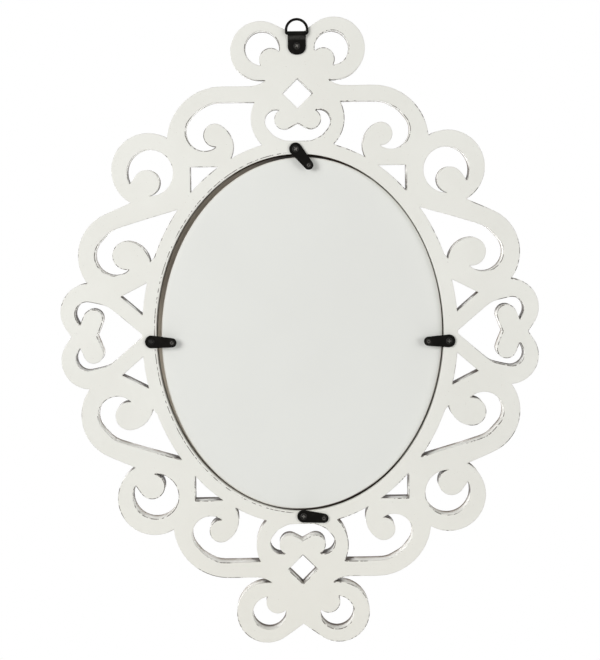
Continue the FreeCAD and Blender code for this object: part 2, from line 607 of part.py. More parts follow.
def turn_button(name):
    """A stamped plate, wide and round at its screw, narrower at its tip, with a pressed dimple."""
    body = DOC.addObject("PartDesign::Body", name)
    plan = body_sketch(body, name + "_plan", "XZ_Plane")
    draw_slot(plan, 0, 0, "button_root_r", "button_reach", 0, "button_tip_r")
    plate = feature(body, "Pad", name + "_plate", plan, "button_thick", reverse=True)
    bore = body_sketch(body, name + "_bore", "XZ_Plane")
    ring = bore.addGeometry(Part.Circle(Vector(0, 0, 0), Vector(0, 0, 1), dim("screw_r").value))
    bore.addConstraint(Sketcher.Constraint("Coincident", ring, 3, -1, 1))
    bind(bore, "Radius", ring, dim("screw_r") + "screw_gap")
    hole = feature(body, "Pocket", name + "_hole", bore, middle=True)
    DOC.recompute()
    rim = [i for i, e in enumerate(hole.Shape.Edges, 1)
           if abs(e.BoundBox.YMin - dim("button_thick").value) < 1e-6 and len(e.Vertexes) == 2]
    ease = body.newObject("PartDesign::Chamfer", name + "_ease")
    ease.Base = (hole, ["Edge%d" % i for i in rim])
    ease.setExpression("Size", "sizes.button_ease")
    mark = body_sketch(body, name + "_dimple_profile", "XY_Plane")
    tip, low = dim("button_reach"), dim("button_thick") - "dimple_depth"
    wide, top = dim("button_reach") + "dimple_r", dim("button_thick") + "dimple_depth"
    lines = polyline(mark, [(tip.value, low.value), (wide.value, dim("button_thick").value),
                            (wide.value, top.value), (tip.value, top.value)])
    corners = ((tip, low), (wide, dim("button_thick")), (wide, top), (tip, top))
    for line, (x, y) in zip(lines, corners):
        pinned(mark, line, 1, x, y)
    axis = mark.addGeometry(Part.LineSegment(Vector(tip.value, 0, 0), Vector(tip.value, 1, 0)), True)
    mark.addConstraint(Sketcher.Constraint("Vertical", axis))
    pinned(mark, axis, 1, tip, 0)
    bind(mark, "DistanceY", axis, 1, axis, 2, dim(1.0))
    dimple = body.newObject("PartDesign::Groove", name + "_dimple")
    dimple.Profile = mark
    dimple.ReferenceAxis = (mark, ["Axis0"])
    dimple.Angle = 360.0
    body.Tip = dimple
    return body


def screw(name):
    """A pan-head wood screw with a cross recess, its head's underside at the local origin."""
    body = DOC.addObject("PartDesign::Body", name)
    outline = body_sketch(body, name + "_profile", "XY_Plane")
    r, length, tip = dim("screw_r"), dim("screw_length"), dim("screw_point")
    head, rim, top = dim("head_r"), dim("head_rim"), dim("head_height")
    spots = [(dim(0), -length), (r, tip - length), (r, dim(0)), (head, dim(0)), (head, rim),
             (dim("head_flat"), top), (dim(0), top)]
    lines = polyline(outline, [(x.value, y.value) for x, y in spots])
    for line, (x, y) in zip(lines, spots):
        pinned(outline, line, 1, x, y)
    turned = body.newObject("PartDesign::Revolution", name + "_turned")
    turned.Profile = outline
    turned.ReferenceAxis = (outline, ["V_Axis"])
    turned.Angle = 360.0
    for letter, role in (("a", "XY_Plane"), ("b", "YZ_Plane")):
        recess = body_sketch(body, "%s_recess_%s" % (name, letter), role)
        half, floor = dim("recess_wide") * 0.5, top - "recess_deep"
        corners = [(-half, floor), (half, floor), (half, top + "recess_deep"), (-half, top + "recess_deep")]
        if role == "YZ_Plane":
            corners = [(y, x) for x, y in corners]
        lines = polyline(recess, [(x.value, y.value) for x, y in corners])
        for line, (x, y) in zip(lines, corners):
            pinned(recess, line, 1, x, y)
        made = feature(body, "Pocket", "%s_cross_%s" % (name, letter), recess, "recess_long", middle=True)
        body.Tip = made
    return body


buttons = {}
for side_name, (x, z, turn) in BUTTONS.items():
    plate_name, screw_name = "turn_button_" + side_name, "button_screw_" + side_name
    buttons[plate_name] = place(turn_button(plate_name), x, BACK_Y, z, dim(turn))
    buttons[screw_name] = place(screw(screw_name), x, SCREW_TOP, z, dim(turn))
hanger_screw = place(screw("hanger_screw"), 0, STRAP_TOP, HANGER_Z, dim("turn_hanger"))

# Hanger strap: one strip folded round the bar, its two leaves pressed together below the loop.
strap = DOC.addObject("PartDesign::Body", "hanger_strap")
fold = body_sketch(strap, "strap_fold", "YZ_Plane")
loop_in = dim("wire_r") + "bar_gap"
loop_out = loop_in + "strap_sheet"
leaf_back = -loop_out
leaf_front = leaf_back + dim("strap_sheet") * 2
leaf_end = -dim("strap_drop")
meet = Vector(leaf_front.value, -math.sqrt(loop_out.value ** 2 - leaf_front.value ** 2), 0)
foot_back = Vector(leaf_back.value, leaf_end.value, 0)
foot_front = Vector(leaf_front.value, leaf_end.value, 0)
loop, back_leaf, foot, front_leaf, eye = fold.addGeometry([
    Part.ArcOfCircle(Part.Circle(Vector(0, 0, 0), Vector(0, 0, 1), loop_out.value),
                     math.atan2(meet.y, meet.x), math.pi),
    Part.LineSegment(Vector(leaf_back.value, 0, 0), foot_back),
    Part.LineSegment(foot_back, foot_front),
    Part.LineSegment(foot_front, meet),
    Part.Circle(Vector(0, 0, 0), Vector(0, 0, 1), loop_in.value),
], False)
fold.addConstraint(Sketcher.Constraint("Tangent", loop, 2, back_leaf, 1))
for here, there in ((back_leaf, foot), (foot, front_leaf), (front_leaf, loop)):
    fold.addConstraint(Sketcher.Constraint("Coincident", here, 2, there, 1))
for ring in (loop, eye):
    fold.addConstraint(Sketcher.Constraint("Coincident", ring, 3, -1, 1))
bind(fold, "Radius", loop, loop_out)
bind(fold, "Radius", eye, loop_in)
fold.addConstraint(Sketcher.Constraint("Vertical", back_leaf))
fold.addConstraint(Sketcher.Constraint("Horizontal", foot))
fold.addConstraint(Sketcher.Constraint("Vertical", front_leaf))
pinned(fold, front_leaf, 1, leaf_front, leaf_end)
strip = feature(strap, "Pad", "strap_strip", fold, "strap_wide", middle=True)
DOC.recompute()


def edges_along(shape, letter, z):
    """Names of the edges that run along X or Y at a height."""
    names = []
    for i, e in enumerate(shape.Edges, 1):
        box = e.BoundBox
        long = box.XLength if letter == "x" else box.YLength
        if abs(long - box.DiagonalLength) < 1e-6 and abs(box.ZMin - z) < 1e-6:
            names.append("Edge%d" % i)
    return names


ends = strap.newObject("PartDesign::Fillet", "strap_end")
ends.Base = (strip, edges_along(strip.Shape, "y", leaf_end.value))
ends.setExpression("Radius", "sizes.strap_round")
DOC.recompute()
crease = strap.newObject("PartDesign::Fillet", "strap_fold_crease")
crease.Base = (ends, edges_along(ends.Shape, "x", meet.y))
crease.setExpression("Radius", "sizes.strap_crease")
DOC.recompute()
drilled = body_sketch(strap, "strap_bore", "XZ_Plane")
ring = drilled.addGeometry(Part.Circle(Vector(0, -dim("strap_screw").value, 0), Vector(0, 0, 1), 1.0))
bind(drilled, "Radius", ring, dim("screw_r") + "screw_gap")
pinned(drilled, ring, 3, 0, -dim("strap_screw"))
strap.Tip = feature(strap, "Pocket", "strap_hole", drilled, middle=True)
place(strap, 0, 0, -EYE_TOP)

# D-ring: round wire along a path with a bar, two clipped corners, two legs and a half-round arch.
# A clip of 0.65 wire radii is the tightest whose two mitres stay clear of each other.
clip = dim("wire_r") * 0.65
bar_end = dim("ring_r") - clip
stops = [(dim(0), dim(0)), (bar_end, dim(0)), (dim("ring_r"), clip),
         (dim("ring_r"), dim("ring_leg")), (-dim("ring_r"), dim("ring_leg")),
         (-dim("ring_r"), clip), (-bar_end, dim(0))]
ring_path = DOC.addObject("Sketcher::SketchObject", "ring_path")
marks = [Vector(x.value, z.value, 0) for x, z in stops]
runs = [Part.LineSegment(here, there) for here, there in zip(marks, marks[1:] + marks[:1])]
runs[3] = Part.ArcOfCircle(Part.Circle(Vector(0, dim("ring_leg").value, 0), Vector(0, 0, 1),
                                       dim("ring_r").value), 0, math.pi)
runs = ring_path.addGeometry(runs, False)
for here, there in zip(runs, runs[1:] + runs[:1]):
    ring_path.addConstraint(Sketcher.Constraint("Coincident", here, 2, there, 1))
for run, (x, z) in zip(runs, stops):
    pinned(ring_path, run, 1, x, z)
bind(ring_path, "DistanceY", -1, 1, runs[3], 3, dim("ring_leg"))
ring_path.Placement = Placement(Vector(0, 0, 0), FACING)
place(ring_path, 0, 0, -EYE_TOP)
wire = DOC.addObject("Part::Circle", "ring_wire")
wire.Placement = Placement(Vector(0, 0, 0), Rotation(Vector(0, 1, 0), 90))
wire.setExpression("Radius", "sizes.wire_r")
place(wire, 0, 0, -EYE_TOP)
hanger_ring = DOC.addObject("Part::Sweep", "hanger_ring")
hanger_ring.Sections = [wire]
hanger_ring.Spine = (ring_path, ["Edge%d" % i for i in range(1, len(runs) + 1)])
hanger_ring.Solid = True
hanger_ring.Transition = "Right corner"

# Every piece is checked, then written under its own name.
DOC.recompute()
for thing in DOC.Objects:
    if "Invalid" in thing.State or "Error" in thing.State:
        raise RuntimeError("%s did not build: %s" % (thing.Name, thing.State))
nodes = [scroll_frame, mirror_glass, back_panel, strap, hanger_ring, hanger_screw] + list(buttons.values())
os.makedirs("parts", exist_ok=True)
for node in nodes:
    if node.Shape.isNull() or not node.Shape.isValid() or len(node.Shape.Solids) != 1:
        raise RuntimeError("%s is not one valid solid" % node.Label)
    node.Shape.exportStep("parts/%s.step" % node.Label)
    box = node.Shape.BoundBox
    print("%-20s x %7.1f %7.1f  y %6.1f %6.1f  z %7.1f %7.1f  volume %9.0f" % (
        node.Label, box.XMin, box.XMax, box.YMin, box.YMax, box.ZMin, box.ZMax, node.Shape.Volume))
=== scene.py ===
# %% [markdown]
# # A fretwork wall mirror, seen from behind
#
# The mirror is a board sawn into scrolls and painted white. An oval glass lies in a step cut into the
# board's back, a white panel covers it, and four black turn buttons hold the panel in. A black D-ring on
# a folded strap hangs it up. The measured solids come in first and stay where they are: every visible
# piece below is worked out from their sizes, so that the looks and the solids share one frame.

# %% Load the measured solids
import json
import math

import bmesh
import bpy
import numpy as np
from mathutils import Matrix, Vector, geometry


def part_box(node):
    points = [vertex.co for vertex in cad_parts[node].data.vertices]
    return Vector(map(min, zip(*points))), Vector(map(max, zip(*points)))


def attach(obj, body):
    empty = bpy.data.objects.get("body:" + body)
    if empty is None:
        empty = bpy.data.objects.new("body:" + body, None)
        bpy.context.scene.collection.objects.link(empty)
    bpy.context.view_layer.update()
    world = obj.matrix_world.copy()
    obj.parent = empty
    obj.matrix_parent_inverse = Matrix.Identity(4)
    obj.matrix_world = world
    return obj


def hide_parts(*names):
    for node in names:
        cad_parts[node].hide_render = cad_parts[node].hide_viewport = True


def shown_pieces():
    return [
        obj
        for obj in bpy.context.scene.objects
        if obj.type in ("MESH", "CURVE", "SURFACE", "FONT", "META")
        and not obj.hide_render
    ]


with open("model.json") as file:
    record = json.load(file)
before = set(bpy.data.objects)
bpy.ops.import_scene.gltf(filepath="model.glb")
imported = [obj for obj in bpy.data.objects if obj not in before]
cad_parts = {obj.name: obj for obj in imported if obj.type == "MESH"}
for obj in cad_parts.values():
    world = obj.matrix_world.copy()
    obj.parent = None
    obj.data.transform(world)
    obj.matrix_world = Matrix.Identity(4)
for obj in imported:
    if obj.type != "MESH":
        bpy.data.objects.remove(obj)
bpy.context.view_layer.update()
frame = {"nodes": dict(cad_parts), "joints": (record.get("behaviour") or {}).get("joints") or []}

MM = 0.001

# %% [markdown]
# ## Levels and middles
#
# The wall side looks along +Y, so a piece's highest y is the side that the picture shows. A few numbers
# read from the solids' boxes place everything else: the board's two faces, the floor of the oval step
# and the middle of the oval.

# %% Read the levels from the solids
board_low, board_high = np.array(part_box("scroll_frame"))
glass_low, glass_high = np.array(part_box("mirror_glass"))
panel_low, panel_high = np.array(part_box("back_panel"))
BACK, FRONT, LEDGE = board_high[1], board_low[1], glass_low[1]
OVAL = (glass_low + glass_high)[[0, 2]] / 2
joint_at = {joint["child"]: np.array(joint["pos_m"]) for joint in frame["joints"]}
print("board %.1f mm thick, step %.1f mm deep, oval's middle at z %.1f mm" % (
    (BACK - FRONT) / MM, (BACK - LEDGE) / MM, OVAL[1] / MM))

# %% [markdown]
# ## The sawn outlines
#
# The fretwork is one board with some thirty openings. Tracing it again by eye would drift from the solid,
# so the outlines are read from the solid's own flat face: an edge that belongs to one flat triangle only
# lies on the rim. Following such edges one by one needs a slow loop. Doubling the stride instead, from
# one step to two, four and eight, finds each outline and the order along it with a few array operations.

# %% Outlines of a flat face
WELD_MM = 0.002
FLAT = 0.01 * MM
SCREW_HOLE = 5 * MM


def solid_points(solid):
    """The points of a measured solid, as an array of (x, y, z)."""
    mesh = frame["nodes"][solid].data
    points = np.empty(len(mesh.vertices) * 3, np.float32)
    mesh.vertices.foreach_get("co", points)
    return points.reshape(-1, 3)


def flat_outlines(solid, level):
    """Closed outlines of a solid's flat face at height y = level, each an array of (x, z) points.

    An edge used by one flat triangle is on the rim. Pointer doubling gives every rim point the smallest
    point number of its outline and the number of steps left to that outline's end.
    """
    mesh = frame["nodes"][solid].data
    corners = np.empty(len(mesh.loops), np.int32)
    mesh.loops.foreach_get("vertex_index", corners)
    spots, number = np.unique(np.round(solid_points(solid) / (WELD_MM * MM)), axis=0, return_inverse=True)
    triangles = number.ravel()[corners].reshape(-1, 3)
    spots = spots * WELD_MM * MM
    triangles = triangles[np.all(np.abs(spots[triangles, 1] - level) < FLAT, axis=1)]
    edges = np.concatenate([triangles[:, [0, 1]], triangles[:, [1, 2]], triangles[:, [2, 0]]])
    codes = np.sort(edges, 1) @ [len(spots), 1]
    _, first, count = np.unique(codes, return_index=True, return_counts=True)
    rim = edges[first[count == 1]]
    here, after = np.unique(rim[:, 0]), np.empty(len(rim), int)
    after[np.searchsorted(here, rim[:, 0])] = np.searchsorted(here, rim[:, 1])
    rounds = range(int(math.log2(len(rim))) + 2)
    head, jump = np.arange(len(rim)), after.copy()
    for _ in rounds:
        head, jump = np.minimum(head, head[jump]), jump[jump]
    ends = after == head
    left, jump = np.where(ends, 0, 1), np.where(ends, np.arange(len(rim)), after)
    for _ in rounds:
        left, jump = left + left[jump], jump[jump]
    order = np.lexsort((-left, head))
    cuts = np.flatnonzero(np.diff(head[order])) + 1
    return np.split(spots[here[order]][:, [0, 2]], cuts)


def span(outline):
    """The larger of an outline's width and height."""
    return np.ptp(outline, axis=0).max()


back_lines = flat_outlines("scroll_frame", BACK)
outlines = [outline for outline in back_lines if span(outline) > SCREW_HOLE]
print("outlines on the back:", len(back_lines), "of which screw holes:", len(back_lines) - len(outlines))

# %% [markdown]
# ## From chords back to curves
#
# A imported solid's arcs are chords. A cubic through each pair of neighbours, with the direction averaged at
# every soft point and kept broken at every sharp corner, gives the sawn curve back, and the even spacing
# of the new points is what the rounded edges need later.

# %% Smooth outlines with even spacing
SHARP = math.radians(14)
SAW_SPACING = 2.2 * MM


def turns(outline):
    """Turn at every point of a closed outline, in radians, with the lengths of its segments."""
    step = np.roll(outline, -1, 0) - outline
    length = np.linalg.norm(step, axis=1)
    heading = np.arctan2(step[:, 1], step[:, 0])
    change = heading - np.roll(heading, 1)
    return (change + math.pi) % (2 * math.pi) - math.pi, length


def smooth_outline(outline, spacing):
    """Points along a closed outline: on each segment, the cubic in t that meets both of its ends.

    Its end directions are the mean of the neighbouring segments' directions, or the segment's own
    direction where the outline has a corner. Every given point stays.
    """
    change, length = turns(outline)
    step = np.roll(outline, -1, 0) - outline
    unit = step / length[:, None]
    mean = unit + np.roll(unit, 1, 0)
    mean /= np.linalg.norm(mean, axis=1)[:, None] + 1e-12
    soft = (np.abs(change) < SHARP)[:, None]
    leave = np.where(soft, mean, unit) * length[:, None]
    reach = np.where(np.roll(soft, -1, 0), np.roll(mean, -1, 0), unit) * length[:, None]
    count = np.maximum(1, np.ceil(length / spacing)).astype(int)
    run = np.repeat(np.arange(len(outline)), count)
    t = (np.arange(count.sum()) - np.repeat(np.cumsum(count) - count, count)) / np.repeat(count, count)
    t = t[:, None]
    start, end = outline[run], (outline + step)[run]
    return ((2 * t ** 3 - 3 * t ** 2 + 1) * start + (t ** 3 - 2 * t ** 2 + t) * leave[run]
            + (3 * t ** 2 - 2 * t ** 3) * end + (t ** 3 - t ** 2) * reach[run])


def oval(half_x, half_z, middle, steps=300):
    """Points of an ellipse: middle + (half_x cos a, half_z sin a)."""
    a = np.linspace(0, 2 * math.pi, steps, endpoint=False)
    return middle + np.stack([half_x * np.cos(a), half_z * np.sin(a)], 1)


# The board's own rim is the largest outline on its back, and the oval step is the second largest.
step_line = sorted(outlines, key=span)[-2]
sawn = [outline for outline in outlines if outline is not step_line]
rabbet = oval(*(np.ptp(step_line, axis=0) / 2), OVAL)
front_lines = flat_outlines("scroll_frame", FRONT)
sight_line = min(front_lines, key=lambda o: abs(np.ptp(o[:, 1]) - np.ptp(rabbet[:, 1])))
sight = oval(*(np.ptp(sight_line, axis=0) / 2), OVAL)
saw_lines = [np.clip(smooth_outline(o, SAW_SPACING), board_low[[0, 2]], board_high[[0, 2]]) for o in sawn]
print("sawn outlines:", len(saw_lines), "points:", sum(map(len, saw_lines)))

# %% [markdown]
# ## A flat face with a rolled rim
#
# A sawn and painted edge is never knife-sharp: a little sanding and a few coats of paint roll it over. The
# Bevel modifier would trip over the tight tips of this fretwork. Here the face is a height over the flat
# plane instead: the depth under the face depends only on the distance to the rim, a quarter circle near
# it and nothing further in. Rows of points along the rim carry that curve, and a Delaunay triangulation
# joins them to a loose grid in the middle.

# %% Distances and insides, as whole arrays
CELL = 30 * MM
BLOCK = 300


def segments(loops):
    """Start and end points of all segments of some closed outlines."""
    return np.concatenate(loops), np.concatenate([np.roll(loop, -1, 0) for loop in loops])


def rim_distance(points, loops, reach=9 * MM):
    """Shortest distance from each point to any segment: the point minus its foot, clamped to the segment.

    Points go cell by cell, each cell with the segments near it only; past reach the distance stays reach.
    """
    start, end = segments(loops)
    run = end - start
    low, high = np.minimum(start, end) - reach, np.maximum(start, end) + reach
    cell = np.floor(points / CELL) @ [1, 1000]
    order = np.argsort(cell, kind="stable")
    distance = np.full(len(points), reach)
    for some in np.split(order, np.flatnonzero(np.diff(cell[order])) + 1):
        block = points[some]
        near = np.all((low < block.max(0)) & (high > block.min(0)), axis=1)
        if near.any():
            gap = block[:, None] - start[near]
            foot = np.clip(np.sum(gap * run[near], 2) / np.sum(run[near] ** 2, 1), 0, 1)
            far = np.sqrt(np.sum((gap - foot[..., None] * run[near]) ** 2, 2).min(1))
            distance[some] = np.minimum(far, reach)
    return distance


def is_inside(points, loops):
    """Even-odd rule: a ray from the point to +x crosses the outlines an odd number of times."""
    start, end = segments(loops)
    order = np.argsort(points[:, 1])
    inside = np.empty(len(points), bool)
    for some in np.array_split(order, len(points) // BLOCK + 1):
        x, z = points[some, :1], points[some, 1:]
        near = (np.minimum(start, end)[:, 1] <= z.max()) & (np.maximum(start, end)[:, 1] >= z.min())
        a, b = start[near], end[near]
        rise = np.where(b[:, 1] == a[:, 1], 1e-12, b[:, 1] - a[:, 1])
        meets = a[:, 0] + (z - a[:, 1]) * (b[:, 0] - a[:, 0]) / rise > x
        inside[some] = np.sum(((a[:, 1] > z) != (b[:, 1] > z)) & meets, 1) % 2 == 1
    return inside


def inward(loop, loops):
    """Unit normals of an outline that point into the material, from the chord over both neighbours."""
    along = np.roll(loop, -1, 0) - np.roll(loop, 1, 0)
    normal = np.stack([along[:, 1], -along[:, 0]], 1)
    normal /= np.linalg.norm(normal, axis=1)[:, None] + 1e-12
    votes = is_inside(loop[::7] + normal[::7] * 0.05 * MM, loops)
    return normal if votes.mean() > 0.5 else -normal


print("a point 1 mm inside the rabbet's wall: %.2f mm" % (
    rim_distance(rabbet[:1] + [MM, 0], [rabbet])[0] / MM))

# %% The rolled face itself
ON_RIM = 0.0001 * MM


def rolled_face(loops, level, side, roll, rows, spacing, relief=None, extra=()):
    """A face over the plane y = level, looking to +Y (side 1) or -Y (side -1), with a rolled rim.

    depth(d) = roll - sqrt(roll^2 - (roll - d)^2) for a distance d to the rim under roll, else 0. Rows of
    points stand at roll (1 - cos f) for f = 30, 60 and 90 degrees and at the given rows. relief adds a
    height to points by (x, z). Slivers whose middle lies on the rim are left out. Returns points,
    triangles and each point's distance to the rim.
    """
    rings = [roll * (1 - math.cos(math.radians(f))) for f in (30, 60, 90)] + list(rows)
    low, high = np.concatenate(loops).min(0), np.concatenate(loops).max(0)
    across, up = np.arange(low[0], high[0], spacing), np.arange(low[1], high[1], spacing)
    inner = np.stack(np.meshgrid(across, up), -1).reshape(-1, 2)
    inner[:, 0] += (np.round((inner[:, 1] - low[1]) / spacing) % 2) * spacing / 2
    inner = inner[is_inside(inner, loops)]
    chosen = [inner[rim_distance(inner, loops) > rings[-1] + 0.4 * spacing]]
    for ring in rings:
        row = np.concatenate([loop + inward(loop, loops) * ring for loop in loops])
        row = row[is_inside(row, loops)]
        chosen.append(row[rim_distance(row, loops) > 0.93 * ring])
    flat = np.concatenate(list(loops) + chosen + [np.asarray(e) for e in extra])
    firsts = np.cumsum([0] + [len(loop) for loop in loops])
    rims = [np.stack([np.arange(len(loop)), np.roll(np.arange(len(loop)), -1)], 1) + first
            for loop, first in zip(loops, firsts)]
    made = geometry.delaunay_2d_cdt([Vector(p) for p in flat], np.concatenate(rims).tolist(), [], 0, 1e-8)
    flat, triangles = np.array(made[0]), np.array(made[2])
    centres = flat[triangles].mean(1)
    triangles = triangles[is_inside(centres, loops) & (rim_distance(centres, loops) > ON_RIM)]
    used, triangles = np.unique(triangles, return_inverse=True)
    flat, triangles = flat[used], triangles.reshape(-1, 3)
    distance = rim_distance(flat, loops)
    distance[distance < WELD_MM * MM] = 0
    short = np.clip(roll - distance, 0, roll)
    depth = roll - np.sqrt(roll ** 2 - short ** 2)
    y = level - side * depth + (side * relief(flat) if relief else 0)
    points = np.stack([flat[:, 0], y, flat[:, 1]], 1)
    return points, (triangles[:, ::-1] if side > 0 else triangles), distance


trial, trial_faces, _ = rolled_face([oval(20 * MM, 12 * MM, [0, 0], 60)], 0, 1, MM, (2 * MM,), 5 * MM)
print("trial oval: %d triangles, its rim %.2f mm deep" % (len(trial_faces), -trial[:, 1].min() / MM))


# %% Walls along an outline
def grid_faces(rows, columns, wrap_rows=False, wrap_columns=True):
    """Four corners of every cell in a grid of points that is numbered row by row."""
    cell_rows, cell_columns = rows - (not wrap_rows), columns - (not wrap_columns)
    i, j = np.meshgrid(np.arange(cell_rows), np.arange(cell_columns), indexing="ij")
    under, beside = (i + 1) % rows, (j + 1) % columns
    cells = [i * columns + j, i * columns + beside, under * columns + beside, under * columns + j]
    return np.stack(cells, -1).reshape(-1, 4)


def wall(loop, heights):
    """A wall along a closed outline: row k holds the outline's points at y = heights[k]."""
    heights = [np.broadcast_to(np.asarray(h, float), len(loop)) for h in heights]
    points = np.concatenate([np.stack([loop[:, 0], h, loop[:, 1]], 1) for h in heights])
    return points, grid_faces(len(heights), len(loop))


print("a wall of two rows round the rabbet:", len(wall(rabbet, [BACK, LEDGE])[1]), "faces")

# %% [markdown]
# ## Putting patches together
#
# Each piece is a few patches: faces and walls. They share their rim points exactly, so merging doubles
# makes one closed skin, and recalculated normals then look outwards everywhere. A soft angle keeps the
# rolled edges smooth and the saw's corners crisp. Numbers that the paint needs later, such as the distance
# to the rim, travel along as attributes of the mesh.


# %% One closed mesh from patches
def put(name, data):
    """A new object in the scene."""
    made = bpy.data.objects.new(name, data)
    bpy.context.scene.collection.objects.link(made)
    return made


def make_piece(name, patches, stands_for, body, crisp=38):
    """A mesh object from patches (points, faces, attributes), merged, with its normals outwards."""
    starts = np.cumsum([0] + [len(points) for points, *_ in patches])
    points = np.concatenate([patch[0] for patch in patches])
    faces = [row for patch, start in zip(patches, starts) for row in (patch[1] + start).tolist()]
    mesh = bpy.data.meshes.new(name)
    mesh.from_pydata(points.tolist(), [], faces)
    for key in sorted({key for *_, notes in patches for key in notes}):
        values = [np.broadcast_to(np.asarray(notes.get(key, 0.0), np.float32), len(spots))
                  for spots, _, notes in patches]
        mesh.attributes.new(key, "FLOAT", "POINT").data.foreach_set("value", np.concatenate(values))
    skin = bmesh.new()
    skin.from_mesh(mesh)
    bmesh.ops.remove_doubles(skin, verts=skin.verts, dist=WELD_MM * MM)
    bmesh.ops.recalc_face_normals(skin, faces=skin.faces)
    open_edges = sum(1 for edge in skin.edges if not edge.is_manifold)
    skin.to_mesh(mesh)
    skin.free()
    mesh.polygons.foreach_set("use_smooth", np.ones(len(mesh.polygons), bool))
    mesh.set_sharp_from_angle(angle=math.radians(crisp))
    piece = put(name, mesh)
    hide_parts(*stands_for)
    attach(piece, body)
    print("%s: %d faces, %d open edges" % (name, len(mesh.polygons), open_edges))
    return piece


# %% [markdown]
# ## Where the paint is sparse, and where shade is painted
#
# On the real board the paint is sparse where a saw blade turned and where a brush could not reach, and
# the same places lie in shade, so the colour laid there is unpainted board and painted shade together.
# Painting such places by hand on a mesh with thousands of points would be tedious, so each wall point
# learns three things from the outline alone: how near it is to a tight corner, how near the wall across
# from it is, and how small its opening is.

# %% Tight corners, narrow gaps and small openings
NOOK_REACH = 9 * MM
NARROW, WIDE = 7 * MM, 17 * MM
TINY_AREA, SMALL_AREA = 400 * MM ** 2, 1200 * MM ** 2


def nooks(loop, coarse):
    """Closeness to the tight inner corners of an outline: exp(-(distance / reach)^2).

    A tight corner is a point of the coarse outline where the opening turns back by more than 50 degrees;
    the more it turns, the stronger the mark.
    """
    change, _ = turns(coarse)
    air = inward(coarse, sawn + [rabbet])
    along = np.roll(coarse, -1, 0) - coarse
    toward = np.sign(along[:, 1] * air[:, 0] - along[:, 0] * air[:, 1])
    tight = np.clip((change * np.median(toward) - math.radians(50)) / math.radians(80), 0, 1)
    spots = coarse[tight > 0]
    if len(spots) == 0:
        return np.zeros(len(loop))
    gap = np.linalg.norm(loop[:, None] - spots, axis=2)
    return np.max(tight[tight > 0] * np.exp(-(gap / NOOK_REACH) ** 2), axis=1)


def narrows(loop):
    """Closeness of the wall across an opening: 1 where it is nearer than NARROW, 0 beyond WIDE.

    The wall across from a point is the nearest point of the outline that lies ahead of it and faces it.
    Returned twice, the second time up to half less where the wall looks up, so that upward walls come out
    lighter: painted light.
    """
    air = -inward(loop, sawn + [rabbet])
    gap = loop[None] - loop[:, None]
    far = np.linalg.norm(gap, axis=2) + 1e-9
    ahead = np.einsum("ijk,ik->ij", gap, air) / far > 0.5
    width = np.where(ahead & (air @ air.T < -0.3), far, 1.0).min(1)
    close = np.clip((WIDE - width) / (WIDE - NARROW), 0, 1)
    return close, close * (1 - 0.5 * np.clip(air[:, 1], 0, 1))


def smallness(loop):
    """1 for an opening under TINY_AREA, 0 over SMALL_AREA; the area is half the sum of x z' - z x'."""
    x, z = loop.T
    area = abs(np.sum(x * np.roll(z, -1) - z * np.roll(x, -1))) / 2
    return np.clip((SMALL_AREA - area) / (SMALL_AREA - TINY_AREA), 0, 1)


nook_marks = [nooks(loop, coarse) for loop, coarse in zip(saw_lines, sawn)]
small_marks = [smallness(loop) for loop in saw_lines]
print("openings with tight corners:", sum(int(marks.max() > 0) for marks in nook_marks),
      "small openings:", sum(int(mark > 0) for mark in small_marks))

# %% [markdown]
# ## The board
#
# The board is the whole look of the mirror: flat faces, sawn walls 22 mm deep and the oval step. Its arrises
# are rolled by 0.7 mm, as sanding leaves them. A copy of the solid could stand in for it, but the rows of
# points along rims and walls are what carries the wear of the paint and its painted shade.

# %% Faces and walls of the board
ROLL = 0.7 * MM
FACE_ROWS = (1.2 * MM, 2.4 * MM, 4.4 * MM)
FACE_SPACING = 7 * MM
BESIDE = 5 * MM
STEP_WORN = 1.2 * MM
outer = max(saw_lines, key=lambda loop: np.ptp(loop[:, 1]))


def board_face(loops, level, side, deep):
    """One face of the board with the distance to its rim, and where its rim is rubbed more or less.

    The step's rim is rubbed on its left, STEP_WORN further in, and whole on its right; the outer rim is
    whole at the upper left. Points on the front's rim count as sawn, because a wall ends there.
    """
    points, faces, distance = rolled_face(loops, level, side, ROLL, FACE_ROWS, FACE_SPACING)
    flat = points[:, [0, 2]]
    by_step = rim_distance(flat, [rabbet]) < BESIDE
    leftward = np.clip((flat[:, 0] - OVAL[0]) / 0.04, -1, 1)
    rub = np.where(by_step, 0.3 * leftward, 0.0)
    upper_left = np.clip((flat - OVAL) @ [0.7, 0.7] / 0.1, 0, 1)
    rub = np.where(rim_distance(flat, [outer]) < BESIDE, -0.12 * upper_left, rub)
    worn_at = np.where(by_step, np.maximum(distance - STEP_WORN, 0), distance)
    at_wall = np.where(distance > 0, 0.0, deep)
    return points, faces, {"rim_mm": worn_at / MM, "deep": deep, "rub": rub, "sawn": at_wall}


def board_wall(loop, top, bottom, nook, painted=0.0, small=0.0, narrow=0.0, bare_and_shade=1.0):
    """The wall between two rolled rims, in eight rows, with its depth and its tight corners.

    Below its painted share it counts as unpainted, by its last argument, which also carries painted shade.
    A small opening is marked towards its front, as if it were one tight corner, and a narrow one from its
    rim
    down: unpainted board and painted shade together.
    """
    part = np.array([0, 0.04, 0.15, 0.35, 0.45, 0.7, 0.92, 1])
    points, faces = wall(loop, top + (bottom - top) * part)
    below_rim = np.clip(part / 0.04, 0, 1)[:, None]
    to_front = np.clip((part - 0.3) / 0.5, 0, 1)[:, None]
    from_rim = np.clip((part - 0.02) / 0.2, 0, 1)[:, None]
    tight = np.maximum(small * to_front, narrow ** 2 * from_rim)
    fade = np.maximum(below_rim * nook, tight)
    raw = np.outer(part > painted, np.broadcast_to(bare_and_shade, len(loop)))
    return points, faces, {"deep": np.repeat(part, len(loop)), "nook": fade.ravel(), "sawn": raw.ravel()}


